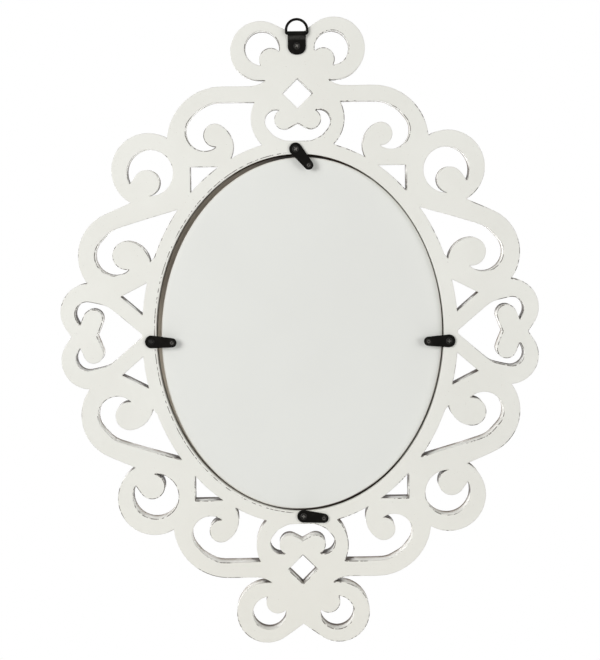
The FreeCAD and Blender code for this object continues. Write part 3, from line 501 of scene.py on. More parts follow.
face_patches = [board_face(saw_lines + [rabbet], BACK, 1, 0.0),
                board_face(saw_lines + [sight], FRONT, -1, 1.0)]
print("points on the board's back and front:", [len(points) for points, *_ in face_patches])

# %% The board in one piece
board_patches = list(face_patches)
for loop, nook_mark, small_mark in zip(saw_lines, nook_marks, small_marks):
    close, pocket = narrows(loop)
    board_patches.append(board_wall(loop, BACK - ROLL, FRONT + ROLL, nook_mark,
                                    small=np.maximum(small_mark, close), narrow=pocket))

# The oval step is painted darkest at its lower right and at its top: painted shade, where little light
# reaches deep in the step. Left is +x, as the viewer sees it.
aside, rise = (rabbet - OVAL).T
lower_right_shade = np.clip((-0.11 - rise) / 0.04, 0, 1) * np.clip((0.06 - aside) / 0.05, 0, 1)
dark = np.maximum(lower_right_shade, np.clip((rise - 0.15) / 0.02, 0, 1))
half_bare_and_shade = 0.5 + 0.5 * dark
ledge_points = np.concatenate([np.insert(o, 1, LEDGE, axis=1) for o in (rabbet, sight)])
ledge_notes = {"deep": 1.0, "sawn": np.tile(half_bare_and_shade, 2), "nook": np.tile(dark, 2)}
board_patches += [board_wall(rabbet, BACK - ROLL, LEDGE, dark, painted=0.4, bare_and_shade=half_bare_and_shade),
                  (ledge_points, grid_faces(2, len(rabbet)), ledge_notes),
                  board_wall(sight, LEDGE, FRONT + ROLL, np.zeros(len(sight)))]
board = make_piece("scroll_board", board_patches, ["scroll_frame"], "frame")

# %% [markdown]
# ## Glass and back panel
#
# Both are oval plates. A plate like this is a profile carried round an outline: the profile runs from the
# middle of one face, over the ground or trimmed edge, to the middle of the other face. A cylinder with a
# bevel would do for a round plate, but the panel lies askew in its step, so its outline is read from its
# solid. A dark gap shows on the side that it leaves free.

# %% Oval plates
GLASS_EASE, PANEL_EASE = 0.5 * MM, 0.7 * MM
PANEL_SPACING = 3.2 * MM


def oval_plate(rim, bottom, top, ease):
    """A profile carried round an outline: m + (1 - s)(rim + inset n - m), m the middle, n the inward normal.

    The rows run over the back face, a quarter circle of radius ease, the edge, another quarter circle and
    the front face; s goes to 1 at both ends, where the rows close at the middle.
    """
    middle = rim.mean(0)
    bend = np.radians(np.linspace(0, 90, 5))
    inset = ease * (1 - np.cos(bend))
    drop = ease * (1 - np.sin(bend))
    share = np.array([1, 0.7, 0.4, 0.15, 0.03])
    shrink = np.concatenate([share, np.zeros(10), share[::-1]])[:, None, None]
    trim = np.concatenate([np.full(5, ease), inset[::-1], inset, np.full(5, ease)])[:, None, None]
    y = np.concatenate([np.full(5, top), top - drop[::-1], bottom + drop, np.full(5, bottom)])
    flat = middle + (1 - shrink) * (rim + inward(rim, [rim]) * trim - middle)
    points = np.stack([flat[..., 0], np.repeat(y[:, None], len(rim), 1), flat[..., 1]], -1)
    edge = np.repeat(np.ptp(rim, axis=0).min() / 2 * shrink.ravel(), len(rim))
    return points.reshape(-1, 3), grid_faces(len(y), len(rim)), {"rim_mm": edge / MM}


glass_rim = oval(*((glass_high - glass_low)[[0, 2]] / 2), OVAL)
panel_rim = smooth_outline(flat_outlines("back_panel", panel_high[1])[0], PANEL_SPACING)
glass_plate = oval_plate(glass_rim, glass_low[1], glass_high[1], GLASS_EASE)
panel_plate = oval_plate(panel_rim, panel_low[1], panel_high[1], PANEL_EASE)
glass = make_piece("oval_glass", [glass_plate], ["mirror_glass"], "frame")
panel = make_piece("oval_panel", [panel_plate], ["back_panel"], "frame")

# %% [markdown]
# ## Turn buttons
#
# A turn button is stamped from black sheet: round and wide at its screw, narrower at its tip, with a
# pressed dimple in the tip. Its outline is the skin of two circles, so two arcs are enough, and the same
# rolled face as the board's gives it soft stamped edges. The dimple is a bowl added to that face.

# %% Outline and dimple of a stamped button
ROOT_R, TIP_R, REACH = 6.3 * MM, 4.6 * MM, 20.3 * MM
DIMPLE_R, DIMPLE_DEEP = 1.5 * MM, 0.65 * MM
BORE_R = 1.75 * MM
STAMPED_ROLL, UNDER_ROLL = 0.55 * MM, 0.15 * MM


def button_outline():
    """The skin of two circles: an arc about the screw, an arc about the tip and the two lines between."""
    lean = math.acos((ROOT_R - TIP_R) / REACH)
    big = np.linspace(lean, 2 * math.pi - lean, 56)
    small = np.linspace(-lean, lean, 36)
    root = ROOT_R * np.stack([np.cos(big), np.sin(big)], 1)
    tip = [REACH, 0] + TIP_R * np.stack([np.cos(small), np.sin(small)], 1)
    flank = np.linspace(0, 1, 10)[1:-1, None]
    lower, upper = root[-1] + (tip[0] - root[-1]) * flank, tip[-1] + (root[0] - tip[-1]) * flank
    return np.concatenate([root, lower, tip, upper])


def dimple(flat):
    """A bowl at the tip: minus its depth times (1 - (r / radius)^2)^1.5 inside the radius."""
    r = np.linalg.norm(flat - [REACH, 0], axis=1) / DIMPLE_R
    return -DIMPLE_DEEP * np.clip(1 - r ** 2, 0, 1) ** 1.5


def turned(points, middle, angle):
    """Points turned about +Y and moved to a middle: x' = x cos + z sin and z' = z cos - x sin."""
    c, s = math.cos(angle), math.sin(angle)
    x, y, z = points.T
    return middle + np.stack([x * c + z * s, y, z * c - x * s], 1)


button_loops = [button_outline(), oval(BORE_R, BORE_R, [0, 0], 40)]
dimple_rows = DIMPLE_R * np.array([0.25, 0.5, 0.75, 0.9, 1.0, 1.15])
dimple_points = np.concatenate([oval(r, r, [REACH, 0], 24) for r in dimple_rows])
print("a button is %.1f mm long, its dimple %.2f mm deep" % (
    (ROOT_R + REACH + TIP_R) / MM, -dimple(np.array([[REACH, 0]]))[0] / MM))


# %% The four buttons
def button_patches(thick):
    """Top with its dimple, underside and walls of a button that lies on y = 0 with its tip towards +x.

    A painted highlight lies in a ring about the dimple: 0.45 exp(-((r - 0.8 radius) / (0.3 radius))^2).
    """
    top = rolled_face(button_loops, thick, 1, STAMPED_ROLL, (0.9 * MM,), 1.5 * MM, dimple,
                      [dimple_points, [[REACH, 0]]])
    under = rolled_face(button_loops, 0, -1, UNDER_ROLL, (0.6 * MM,), 1.8 * MM)
    from_tip = np.linalg.norm(top[0][:, [0, 2]] - [REACH, 0], axis=1)
    rub_and_glint = 0.45 * np.exp(-((from_tip - 0.8 * DIMPLE_R) / (0.3 * DIMPLE_R)) ** 2)
    sides = [wall(loop, [thick - STAMPED_ROLL, UNDER_ROLL]) + ({},) for loop in button_loops]
    return [top[:2] + ({"bright": rub_and_glint},), under[:2] + ({},)] + sides


button_angle = {}
for side in ("left", "right", "top", "bottom"):
    solid, middle = "turn_button_" + side, joint_at["button_" + side].copy()
    low, high = np.array(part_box(solid))
    away = solid_points(solid) - middle
    tip = away[np.linalg.norm(away[:, [0, 2]], axis=1) > REACH].mean(0)
    button_angle[side] = math.atan2(-tip[2], tip[0])
    middle[1] = low[1]
    patches = [(turned(points, middle, button_angle[side]), faces, notes)
               for points, faces, notes in button_patches(high[1] - low[1])]
    make_piece("stamped_button_" + side, patches, [solid], "button_" + side)

# %% [markdown]
# ## Screws
#
# Each screw has a low domed head with a cross recess. A Boolean could cut the cross from a dome, but its
# edges would need mending. Here the dome is a height over the disc, the cross is an opening in that disc
# with its own walls and floor, and the shank below is a profile turned round the axis.

# %% Head, recess and shank
ARM, HALF_WIDE, RECESS_DEEP = 1.75 * MM, 0.42 * MM, 0.75 * MM
HEAD_ROLL, FLOOR_ROLL = 0.12 * MM, 0.05 * MM
HEAD_SPACING = 0.42 * MM
SHANK_R, SHANK_LONG = 1.5 * MM, 16 * MM
AROUND = 56


def cross_outline():
    """A plus sign of half width w and arm a, as twelve corners, with points along its sides."""
    w, a = HALF_WIDE, ARM
    corners = np.array([[a, -w], [a, w], [w, w], [w, a], [-w, a], [-w, w],
                        [-a, w], [-a, -w], [-w, -w], [-w, -a], [w, -a], [w, -w]])
    return smooth_outline(corners, 0.4 * MM)


def screw_patches(head_r, head_high):
    """Head, recess floor, recess wall, head's side and turned shank, and how near the head's edges are.

    The head is y = high (1 - 0.5 (r / R)^2.4) over the disc, and nearness to an edge exp(-(d / 0.3 mm)^2).
    """
    def dome(flat):
        return -0.5 * head_high * (np.linalg.norm(flat, axis=1) / head_r) ** 2.4

    rim, cross = oval(head_r, head_r, [0, 0], AROUND), cross_outline()
    floor_y = head_high - RECESS_DEEP
    top = rolled_face([rim, cross], head_high, 1, HEAD_ROLL, (0.25 * MM,), HEAD_SPACING, dome)
    floor = rolled_face([cross], floor_y, 1, FLOOR_ROLL, (0.2 * MM,), HEAD_SPACING)
    recess = wall(cross, [head_high - HEAD_ROLL + dome(cross), floor_y - FLOOR_ROLL])
    skirt = wall(rim, [head_high - HEAD_ROLL + dome(rim), 0])
    a = np.linspace(0, 2 * math.pi, AROUND, endpoint=False)
    reach = np.array([head_r, SHANK_R, SHANK_R, 0.35 * SHANK_R, 0])[:, None]
    low = np.array([0, 0, MM - SHANK_LONG, -SHANK_LONG, -SHANK_LONG])
    shank = np.stack([reach * np.cos(a), np.repeat(low[:, None], AROUND, 1), reach * np.sin(a)], -1)
    near_edge = np.exp(-(top[2] / (0.3 * MM)) ** 2)
    return [top[:2], floor[:2], recess, skirt, (shank.reshape(-1, 3), grid_faces(5, AROUND))], near_edge


print("a cross recess has", len(cross_outline()), "points along its rim")

# %% The five screws
# How much highlight each screw gets painted on its head's edges and cross, with screwdriver scratches.
SCREW_GLINT_AND_SCRAPE = {"left": 0.12, "right": 0.6, "top": 1.0, "bottom": 0.8, "hanger": 0.9}
HANGER_TURN = math.radians(38)

for place_name, glint_and_scrape in SCREW_GLINT_AND_SCRAPE.items():
    solid = "hanger_screw" if place_name == "hanger" else "button_screw_" + place_name
    low, high = np.array(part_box(solid))
    middle = (low + high) / 2
    middle[1] = low[1] + SHANK_LONG
    angle = button_angle.get(place_name, HANGER_TURN)
    patches, near_edge = screw_patches((high[0] - low[0]) / 2, high[1] - middle[1])
    # Painted highlight along the head's edges; on the recess floor and walls, painted highlight and
    # scratches.
    bright_at = (0.22 * glint_and_scrape * near_edge, glint_and_scrape, glint_and_scrape, 0.0, 0.0)
    patches = [(turned(points, middle, angle), faces, {"bright": bright})
               for (points, faces), bright in zip(patches, bright_at)]
    make_piece("screw_" + place_name, patches, [solid], "frame", 30)

# %% [markdown]
# ## D-ring
#
# The ring is round wire carried along a D: a bar, two tight corners, two legs and a half-round arch. A
# curve with a bevel depth would give the same wire, but a grid of a circle's points along the path's
# points is one mesh from the start, with its seam closed.


# %% Paths, and the ring on one
def arc(middle, r, start, end, count):
    """Points of an arc: middle + r (cos a, sin a), angles in degrees, without the last point."""
    a = np.radians(np.linspace(start, end, count, endpoint=False))
    return np.asarray(middle) + r * np.stack([np.cos(a), np.sin(a)], 1)


def line(start, end, count):
    """Evenly spaced points from start to end, without the last point."""
    return np.asarray(start) + np.linspace(0, 1, count, endpoint=False)[:, None] * (np.subtract(end, start))


ring_low, ring_high = np.array(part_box("hanger_ring"))
WIRE = (ring_high[1] - ring_low[1]) / 2
ARCH = ring_high[0] - WIRE
CORNER = 1.6 * MM
WIRE_STEPS = 28
bar_z = ring_low[2] + WIRE
leg = ring_high[2] - WIRE - ARCH - bar_z
half_bar = ARCH - CORNER
path = np.concatenate([
    line((-half_bar, 0), (half_bar, 0), 12), arc((half_bar, CORNER), CORNER, -90, 0, 8),
    line((ARCH, CORNER), (ARCH, leg), 3), arc((0, leg), ARCH, 0, 180, 60),
    line((-ARCH, leg), (-ARCH, CORNER), 3), arc((-half_bar, CORNER), CORNER, 180, 270, 8)])
along = np.roll(path, -1, 0) - np.roll(path, 1, 0)
along /= np.linalg.norm(along, axis=1)[:, None]
round_way = np.linspace(0, 2 * math.pi, WIRE_STEPS, endpoint=False)
out = np.stack([along[:, 1], -along[:, 0]], 1)[:, None] * (WIRE * np.cos(round_way))[:, None]
flat = path[:, None] + out
depth = np.broadcast_to(WIRE * np.sin(round_way), flat.shape[:2])
tube = np.stack([flat[..., 0], depth, bar_z + flat[..., 1]], -1).reshape(-1, 3)
tube_faces = grid_faces(len(path), WIRE_STEPS, wrap_rows=True)
make_piece("d_ring", [(tube, tube_faces, {})], ["hanger_ring"], "ring", 60)

# %% [markdown]
# ## Folded strap
#
# The strap is one strip of sheet that comes up behind the ring's bar, goes round it and comes down in
# front, pressed against itself. Solidify on a bent plane would thicken it too, but its rounded lower end
# has to follow the fold. So the strip's section, with softened corners, is carried along the fold, and its
# width shrinks towards both ends as a circle does.

# %% The fold, seen from the side
strap_low, strap_high = np.array(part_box("hanger_strap"))
SHEET = 0.78 * MM
LEAF_GAP = 0.03 * MM
CREASE = 7 * MM + SHEET / 2
ROUND = 8 * MM
END_LONG = 8.5 * MM
LOOP = strap_high[1] - SHEET / 2
back_y, front_y = strap_low[1] + SHEET / 2, strap_low[1] + 1.5 * SHEET + LEAF_GAP
end_z = strap_low[2] - bar_z
turn_y = front_y + CREASE
turn_z = -math.sqrt((LOOP + CREASE) ** 2 - turn_y ** 2)
meet = math.degrees(math.atan2(turn_z, turn_y))
fold = np.concatenate([
    line((back_y, end_z), (back_y, end_z + END_LONG), 18), line((back_y, end_z + END_LONG), (back_y, 0), 8),
    arc((0, 0), -back_y, 180, meet, 48), arc((turn_y, turn_z), CREASE, 180 + meet, 180, 10),
    line((front_y, turn_z), (front_y, end_z + END_LONG), 8),
    line((front_y, end_z + END_LONG), (front_y, end_z), 18), [[front_y, end_z]]])
fold_long = np.linalg.norm(np.diff(fold, axis=0), axis=1).sum()
print("the strap is %.1f mm long when laid flat" % (fold_long / MM))

# %% The strip carried along the fold
SOFT = 0.22 * MM
heading = np.gradient(fold, axis=0)
heading /= np.linalg.norm(heading, axis=1)[:, None]
normal = np.stack([-heading[:, 1], heading[:, 0]], 1)
lift = np.clip(ROUND - (fold[:, 1] - end_z), 0, ROUND)
half_wide = strap_high[0] - ROUND + np.sqrt(ROUND ** 2 - lift ** 2)
bend = np.radians(np.linspace(0, 90, 4))
quarter = np.stack([-SOFT + SOFT * np.sin(bend), SHEET / 2 - SOFT + SOFT * np.cos(bend)], 1)
section = np.concatenate([quarter, quarter[::-1] * [1, -1]])
inset = np.concatenate([section[:, 0], section[::-1, 0]])
lift_off = np.concatenate([section[:, 1], section[::-1, 1]])
sign = np.repeat([1.0, -1.0], len(section))
x = sign * (half_wide[:, None] + inset)
off = fold[:, None] + normal[:, None] * lift_off[:, None]
strip = np.stack([x, off[..., 0], bar_z + off[..., 1]], -1)
ends = strip[[0, -1]].mean(1)[:, None].repeat(strip.shape[1], 1)
strip = np.concatenate([ends[:1], strip, ends[1:]])
# The bend below the loop catches a little more light.
slope = np.clip((fold[:, 0] - front_y) / (0.5 * MM), 0, 1) * (fold[:, 1] < -1.7 * MM)
slope = np.repeat(np.concatenate([[0], slope, [0]]), strip.shape[1])
strip_patch = (strip.reshape(-1, 3), grid_faces(*strip.shape[:2]), {"bright": 0.12 * slope})
make_piece("folded_strap", [strip_patch], ["hanger_strap"], "frame", 40)

# %% [markdown]
# ## Finishes
#
# All finishes are node materials on Object coordinates and on the attributes above, so they need no
# pictures and stay on the pieces when these move. Small helpers keep the trees readable.


# %% Small helpers for node trees
def finish_tree(name):
    """A new material with a Principled shader; returns the material, its tree and the shader."""
    material = bpy.data.materials.new(name)
    material.use_nodes = True
    return material, material.node_tree, material.node_tree.nodes["Principled BSDF"]


def feed(tree, made, inputs):
    """Links each of these inputs of a node to a socket, or sets it to a value."""
    for key, value in inputs.items():
        if isinstance(value, bpy.types.NodeSocket):
            tree.links.new(value, made.inputs[key])
        else:
            made.inputs[key].default_value = value


def node(tree, kind, inputs, **settings):
    """A new node with its settings made and its inputs fed; returns its outputs."""
    made = tree.nodes.new(kind)
    for key, value in settings.items():
        setattr(made, key, value)
    feed(tree, made, inputs)
    return made.outputs


def place(tree):
    """The Object coordinates, which are metres in the shared frame."""
    return node(tree, "ShaderNodeTexCoord", {})["Object"]


def split(tree, where):
    """The x, y and z of a place, as the sockets X, Y and Z."""
    return node(tree, "ShaderNodeSeparateXYZ", {0: where})


def note(tree, key):
    """A number that travels with the mesh's points."""
    return node(tree, "ShaderNodeAttribute", {}, attribute_name=key)["Fac"]


def noise(tree, where, scale, detail=3.0, rough=0.55):
    """Soft noise between 0 and 1, with scale waves to the metre."""
    waves = {"Vector": where, "Scale": scale, "Detail": detail, "Roughness": rough}
    return node(tree, "ShaderNodeTexNoise", waves)[0]


def ease(tree, value, low, high, to_low=0.0, to_high=1.0):
    """A smooth step of a value from low to high, clamped at both ends."""
    limits = {"Value": value, "From Min": low, "From Max": high, "To Min": to_low, "To Max": to_high}
    return node(tree, "ShaderNodeMapRange", limits, interpolation_type="SMOOTHSTEP", clamp=True)[0]


print("one smooth step is a node of its own: Map Range")


# %% Helpers that join numbers and colours
def join(tree, operation, values):
    """One value from several, by a chain of Math nodes."""
    result = values[0]
    for value in values[1:]:
        result = node(tree, "ShaderNodeMath", {0: result, 1: value}, operation=operation)[0]
    return result


def times(tree, *values):
    return join(tree, "MULTIPLY", values)


def plus(tree, *values):
    return join(tree, "ADD", values)


def most(tree, *values):
    return join(tree, "MAXIMUM", values)


def coats(tree, colour, *layers):
    """A colour with others laid over it, each by its share: 0 keeps what is below and 1 hides it."""
    for share, over in layers:
        colour = node(tree, "ShaderNodeMix", {0: share, 6: colour, 7: over}, data_type="RGBA")[2]
    return colour


def bumps(tree, height, strength, distance):
    """A normal with a fine relief."""
    return node(tree, "ShaderNodeBump", {"Height": height, "Strength": strength, "Distance": distance})[0]


print("numbers are joined by times, plus and most, colours by coats")

# %% [markdown]
# ## White paint on a sawn board
#
# The paint is an even warm white with a soft sheen. It is thinner on the sawn walls, which turn brown
# towards the front: partly raw board, partly painted shade where less light reaches deep into the openings.
# Walls on the right are painted darker still, as shade from the light on the left. Tight corners, narrow
# gaps and small openings show almost black: the paint misses the brown board there, and shade is painted
# there too. Along the arrises the sanding has broken the paint into fine dark dashes. Distance to the rim,
# depth and nearness to a tight corner drive these, each broken up by noise so that no line runs evenly.
# Unpainted board is matt: seen along the wall, a sheen would turn it white again.

# %% The paint
WARM_WHITE, SOFT_WHITE, LOW_WHITE = (0.80, 0.797, 0.745, 1), (0.77, 0.765, 0.712, 1), (0.82, 0.79, 0.70, 1)
THIN_PAINT_AND_SHADE, RAW_EDGE_AND_SHADE = (0.33, 0.225, 0.145, 1), (0.085, 0.048, 0.027, 1)
BARE_BOARD_AND_SHADE, WORN_RIM = (0.075, 0.042, 0.024, 1), (0.05, 0.036, 0.026, 1)
SPECK = (0.35, 0.31, 0.26, 1)


def white_paint():
    material, tree, shader = finish_tree("white_paint")
    where, rim, deep = place(tree), note(tree, "rim_mm"), note(tree, "deep")
    nook, on_wall = note(tree, "nook"), note(tree, "sawn")
    broad, patchy, fine = noise(tree, where, 9), noise(tree, where, 60, 4), noise(tree, where, 420, 3)
    axes = split(tree, where)
    low = ease(tree, axes["Z"], OVAL[1] - 0.08, OVAL[1] - 0.28, 0.0, 0.3)
    # Painted shade: walls on the right come out darker, as the light comes from the left.
    right = ease(tree, axes["X"], OVAL[0] + 0.12, OVAL[0] - 0.12, 0.6, 1.0)
    # Towards a wall's front: raw brown board together with painted shade, where less light reaches.
    thin_paint_and_shade = times(tree, on_wall, ease(tree, deep, 0.2, 1.0), ease(tree, patchy, 0.25, 0.65, 0.5, 0.9))
    edge = times(tree, on_wall, ease(tree, deep, 0.62, 1.0), ease(tree, patchy, 0.35, 0.6, 0.3, 1.0), right)
    # Tight corners, narrow gaps and small openings: unpainted board and painted shade.
    bare_and_shade = times(tree, on_wall, ease(tree, nook, 0.12, 0.75), ease(tree, patchy, 0.2, 0.5, 0.7, 1.0))
    near = times(tree, ease(tree, rim, 0.02, 0.15), ease(tree, rim, 0.9, 0.7))
    stretch = ease(tree, plus(tree, noise(tree, where, 16, 2), note(tree, "rub")), 0.49, 0.55)
    dashes = ease(tree, noise(tree, where, 270, 3), 0.43, 0.52)
    specks = ease(tree, noise(tree, where, 700, 2), 0.735, 0.76)
    colour = coats(tree, WARM_WHITE, (ease(tree, broad, 0.3, 0.7), SOFT_WHITE), (low, LOW_WHITE),
                   (times(tree, thin_paint_and_shade, 0.85), THIN_PAINT_AND_SHADE), (edge, RAW_EDGE_AND_SHADE),
                   (times(tree, bare_and_shade, 0.97), BARE_BOARD_AND_SHADE),
                   (times(tree, near, stretch, dashes, 0.92), WORN_RIM), (times(tree, specks, 0.5), SPECK))
    matt = ease(tree, most(tree, thin_paint_and_shade, edge, bare_and_shade), 0.1, 0.75, 0.5, 0.02)
    grain = plus(tree, times(tree, fine, 0.6), noise(tree, where, 1600, 2))
    feed(tree, shader, {"Base Color": colour, "Roughness": ease(tree, patchy, 0.3, 0.7, 0.42, 0.56),
                        "Specular IOR Level": matt, "Normal": bumps(tree, grain, 0.10, 0.0006)})
    return material


paint = white_paint()
board.data.materials.append(paint)
print("paint nodes:", len(paint.node_tree.nodes))

# %% [markdown]
# ## Coated panel
#
# The panel is smooth coated board, a little cooler than the paint. Its trimmed rim shows the board's own
# brown, and at the lower right, where the gap is, its rim is painted near black as shade in the gap. The
# distance to the rim is an attribute of the mesh, so one colour laid over another is enough.

# %% The panel's coat
PANEL_WHITE, PANEL_GREY = (0.765, 0.772, 0.737, 1), (0.745, 0.750, 0.716, 1)
TRIMMED, PANEL_GAP_SHADE = (0.62, 0.58, 0.52, 1), (0.03, 0.02, 0.014, 1)


def panel_white():
    material, tree, shader = finish_tree("panel_white")
    where = place(tree)
    axes = split(tree, where)
    broad, fine = noise(tree, where, 6, 2), noise(tree, where, 900, 2)
    rim = ease(tree, note(tree, "rim_mm"), 0.6, 0.0)
    # Painted shade in the gap at the panel's lower right.
    low = ease(tree, axes["Z"], OVAL[1] - 0.14, OVAL[1] - 0.165)
    right = ease(tree, axes["X"], OVAL[0] + 0.04, OVAL[0] - 0.01)
    colour = coats(tree, PANEL_WHITE, (ease(tree, broad, 0.3, 0.7), PANEL_GREY),
                   (times(tree, rim, 0.5), TRIMMED), (times(tree, rim, low, right), PANEL_GAP_SHADE))
    feed(tree, shader, {"Base Color": colour, "Roughness": ease(tree, broad, 0.2, 0.8, 0.38, 0.48),
                        "Normal": bumps(tree, fine, 0.04, 0.0004)})
    return material


panel_coat = panel_white()
panel.data.materials.append(panel_coat)
print("panel nodes:", len(panel_coat.node_tree.nodes))

# %% [markdown]
# ## Silvered glass
#
# The glass is silvered: its front mirrors, its back and edge show the protective coat. Both sides are one
# piece, told apart by the height along y, so Metallic goes from 1 to 0 over a fraction of a millimetre. The
# coat shows only in the gap round the panel: brown at the upper left; the rest is painted light and shade,
# pale at the lower left where light falls into the gap and dark on the right, darkest at its top and bottom.

# %% The mirror
SILVER = (0.93, 0.94, 0.935, 1)
BROWN_COAT, DEEP_COAT, LIT_COAT = (0.34, 0.295, 0.245, 1), (0.25, 0.215, 0.175, 1), (0.78, 0.70, 0.60, 1)
SHADED_COAT, COAT_SHADE_BLACK = (0.22, 0.20, 0.17, 1), (0.03, 0.024, 0.02, 1)


def silvered_glass():
    material, tree, shader = finish_tree("silvered_glass")
    where = place(tree)
    axes = split(tree, where)
    coat = ease(tree, axes["Y"], LEDGE + 0.15 * MM, LEDGE + 0.45 * MM)
    # Painted light: at the lower left the coat is pale where light falls into the gap.
    left = coats(tree, BROWN_COAT, (noise(tree, where, 70, 4), DEEP_COAT),
                 (ease(tree, axes["Z"], OVAL[1] + 0.06, OVAL[1] - 0.02), LIT_COAT))
    # Painted shade: the coat on the right is darker, and darkest at top and bottom.
    bottom = ease(tree, axes["Z"], OVAL[1] - 0.11, OVAL[1] - 0.15)
    top = ease(tree, axes["Z"], OVAL[1] + 0.15, OVAL[1] + 0.17)
    right = coats(tree, SHADED_COAT, (most(tree, bottom, top), COAT_SHADE_BLACK))
    tone = coats(tree, right, (ease(tree, axes["X"], OVAL[0] + 0.01, OVAL[0] + 0.06), left))
    haze = ease(tree, noise(tree, where, 14, 3), 0.3, 0.8, 0.008, 0.022)
    feed(tree, shader, {"Base Color": coats(tree, SILVER, (coat, tone)),
                        "Metallic": ease(tree, coat, 0, 1, 1.0, 0.0),
                        "Roughness": plus(tree, haze, times(tree, coat, 0.6))})
    return material


mirror = silvered_glass()
glass.data.materials.append(mirror)
print("mirror nodes:", len(mirror.node_tree.nodes))

# %% [markdown]
# ## Black metal
#
# Buttons, strap, ring and screws have a satin black coat with a fine orange-peel skin. It is worn a little
# brighter in random places. Lighter metal is also painted in as highlights: about each button's dimple,
# along the screw heads' edges and on the strap's bend. In the screws' cross recesses it is painted highlight
# and screwdriver scratches together. Screws take a little more shine and wear, so one function makes two
# finishes.

# %% The metal, and a finish for every piece and solid
COAT_BLACK, COAT_SOFT = (0.0035, 0.0032, 0.0026, 1), (0.0058, 0.0053, 0.0043, 1)
COAT_RUBBED, BARE_METAL_AND_GLINT = (0.05, 0.047, 0.042, 1), (0.34, 0.325, 0.30, 1)


def black_metal(name, rub_and_glint, shine):
    material, tree, shader = finish_tree(name)
    where = place(tree)
    cloudy, fine = noise(tree, where, 150, 4), noise(tree, where, 1500, 2)
    wear = times(tree, ease(tree, cloudy, 0.55, 0.75), ease(tree, fine, 0.45, 0.65), rub_and_glint)
    scratches = ease(tree, noise(tree, where, 900, 2), 0.35, 0.6, 0.45, 1.0)
    glint_and_scrape = times(tree, note(tree, "bright"), scratches)
    colour = coats(tree, COAT_BLACK, (ease(tree, cloudy, 0.3, 0.7), COAT_SOFT), (wear, COAT_RUBBED),
                   (glint_and_scrape, BARE_METAL_AND_GLINT))
    feed(tree, shader, {"Base Color": colour, "Roughness": ease(tree, cloudy, 0.3, 0.7, 0.34, 0.5),
                        "Specular IOR Level": shine, "Normal": bumps(tree, fine, 0.12, 0.0003)})
    return material


coat, screw_coat = black_metal("black_coat", 0.3, 0.05), black_metal("black_screw_coat", 0.5, 0.12)
for piece in [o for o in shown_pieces() if not o.data.materials]:
    piece.data.materials.append(screw_coat if piece.name.startswith("screw_") else coat)
pale_finishes = {"scroll_frame": paint, "mirror_glass": mirror, "back_panel": panel_coat}
for name, solid in frame["nodes"].items():
    solid.data.materials.clear()
    solid.data.materials.append(pale_finishes.get(name, screw_coat if "screw" in name else coat))
print("finishes:", sorted(m.name for m in bpy.data.materials if m.users))

# %% [markdown]
# ## World and floor
#
# The picture shows the mirror on plain white. A strong white world would wash the paint out, so the world
# is white to the camera and to mirrors only, and lights the pieces weakly. The floor is a pale sheet that
# fades out towards its edges by its Alpha, so that no horizon shows.

# %% World
ROOM = 0.32
world = bpy.data.worlds.new("soft_room")
bpy.context.scene.world = world
world.use_nodes = True
sky = world.node_tree
rays = node(sky, "ShaderNodeLightPath", {})
seen = most(sky, rays["Is Camera Ray"], rays["Is Glossy Ray"], rays["Is Transmission Ray"])
feed(sky, sky.nodes["Background"], {"Color": (1, 1, 1, 1), "Strength": ease(sky, seen, 0, 1, ROOM, 1.0)})
print("the world lights the pieces at", ROOM)

# %% Floor
FLOOR_Z, FLOOR_HALF = board_low[2] - 0.55, 1.7
floor_mesh = bpy.data.meshes.new("pale_floor")
around = np.array([(-1, -1), (1, -1), (1, 1), (-1, 1)]) * FLOOR_HALF
floor_mesh.from_pydata(np.insert(around, 2, FLOOR_Z, axis=1).tolist(), [], [(0, 1, 2, 3)])
floor = put("pale_floor", floor_mesh)
pale, pale_tree, pale_shader = finish_tree("pale_floor")
glow = times(pale_tree, node(pale_tree, "ShaderNodeLightPath", {})["Is Camera Ray"], 0.45)
level_place = node(pale_tree, "ShaderNodeVectorMath", {0: place(pale_tree), 1: (1, 1, 0)},
                   operation="MULTIPLY")[0]
from_middle = node(pale_tree, "ShaderNodeVectorMath", {0: level_place}, operation="LENGTH")["Value"]
fade_out = ease(pale_tree, from_middle, 0.35 * FLOOR_HALF, FLOOR_HALF, 1.0, 0.0)
feed(pale_tree, pale_shader, {"Base Color": (0.9, 0.9, 0.9, 1), "Roughness": 0.9, "Alpha": fade_out,
                              "Emission Color": (1, 1, 1, 1), "Emission Strength": glow})
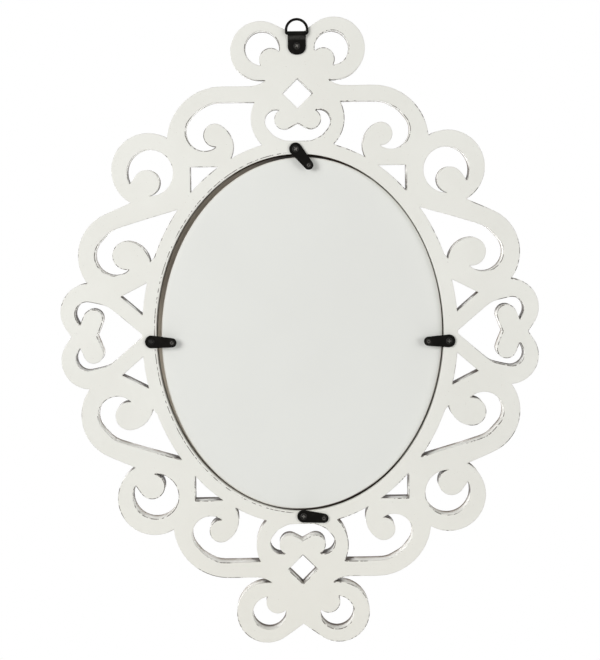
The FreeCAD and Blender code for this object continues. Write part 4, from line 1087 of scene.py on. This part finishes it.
floor_mesh.materials.append(pale)
print("floor at z %.2f m" % FLOOR_Z)

# %% [markdown]
# ## Lamps
#
# The light in the picture is soft and comes from the viewer's side, a little stronger from the upper left.
# Large Area lamps give such light with soft shadows: two stand on the wall side, and a third one on the
# glass side keeps the other views from going dark.

# %% Lamps
MIDDLE = Vector((OVAL[0], BACK, OVAL[1]))


def lamp(name, offset, wide, power):
    """A square soft lamp at an offset from the oval's middle, aimed at it."""
    light = bpy.data.lights.new(name, "AREA")
    light.size = wide
    light.energy = power
    made = put(name, light)
    made.location = MIDDLE + Vector(offset)
    made.rotation_euler = (-Vector(offset)).to_track_quat("-Z", "Y").to_euler()
    print("%s: %.1f W, %.2f m away" % (name, power, Vector(offset).length))


lamp("window_left", (1.5, 1.8, 0.55), 1.1, 33.5)
lamp("window_right", (-1.7, 1.7, 0.25), 1.1, 17.3)
lamp("glass_side", (0.3, -2.4, -0.25), 1.6, 23)

# %% [markdown]
# ## Camera
#
# The picture was taken from a little above and almost straight on, close enough for the walls of the outer
# openings to show. So the camera's angles, its distance and its lens were fitted together, and it is rolled
# by a fraction of a degree, as the picture is.

# %% Camera
VIEW_ABOVE = math.radians(4.856)
VIEW_ASIDE = math.radians(0.6275)
TILT = math.radians(-0.69)
DISTANCE = 1.836
LENS, SENSOR = 111.36, 36.0
AIM = Vector((0.0002, BACK, -0.3027))
level = math.cos(VIEW_ABOVE)
back_way = Vector((math.sin(VIEW_ASIDE) * level, math.cos(VIEW_ASIDE) * level, math.sin(VIEW_ABOVE)))
camera = put("viewer", bpy.data.cameras.new("viewer"))
camera.data.sensor_fit = "HORIZONTAL"
camera.data.sensor_width = SENSOR
camera.data.lens = LENS
camera.location = AIM + back_way * DISTANCE
facing = back_way.to_track_quat("Z", "Y").to_matrix() @ Matrix.Rotation(TILT, 3, "Z")
camera.rotation_euler = facing.to_euler()
bpy.context.scene.camera = camera
bpy.context.scene.view_settings.view_transform = "Standard"
print("camera at", [round(v, 4) for v in camera.location])
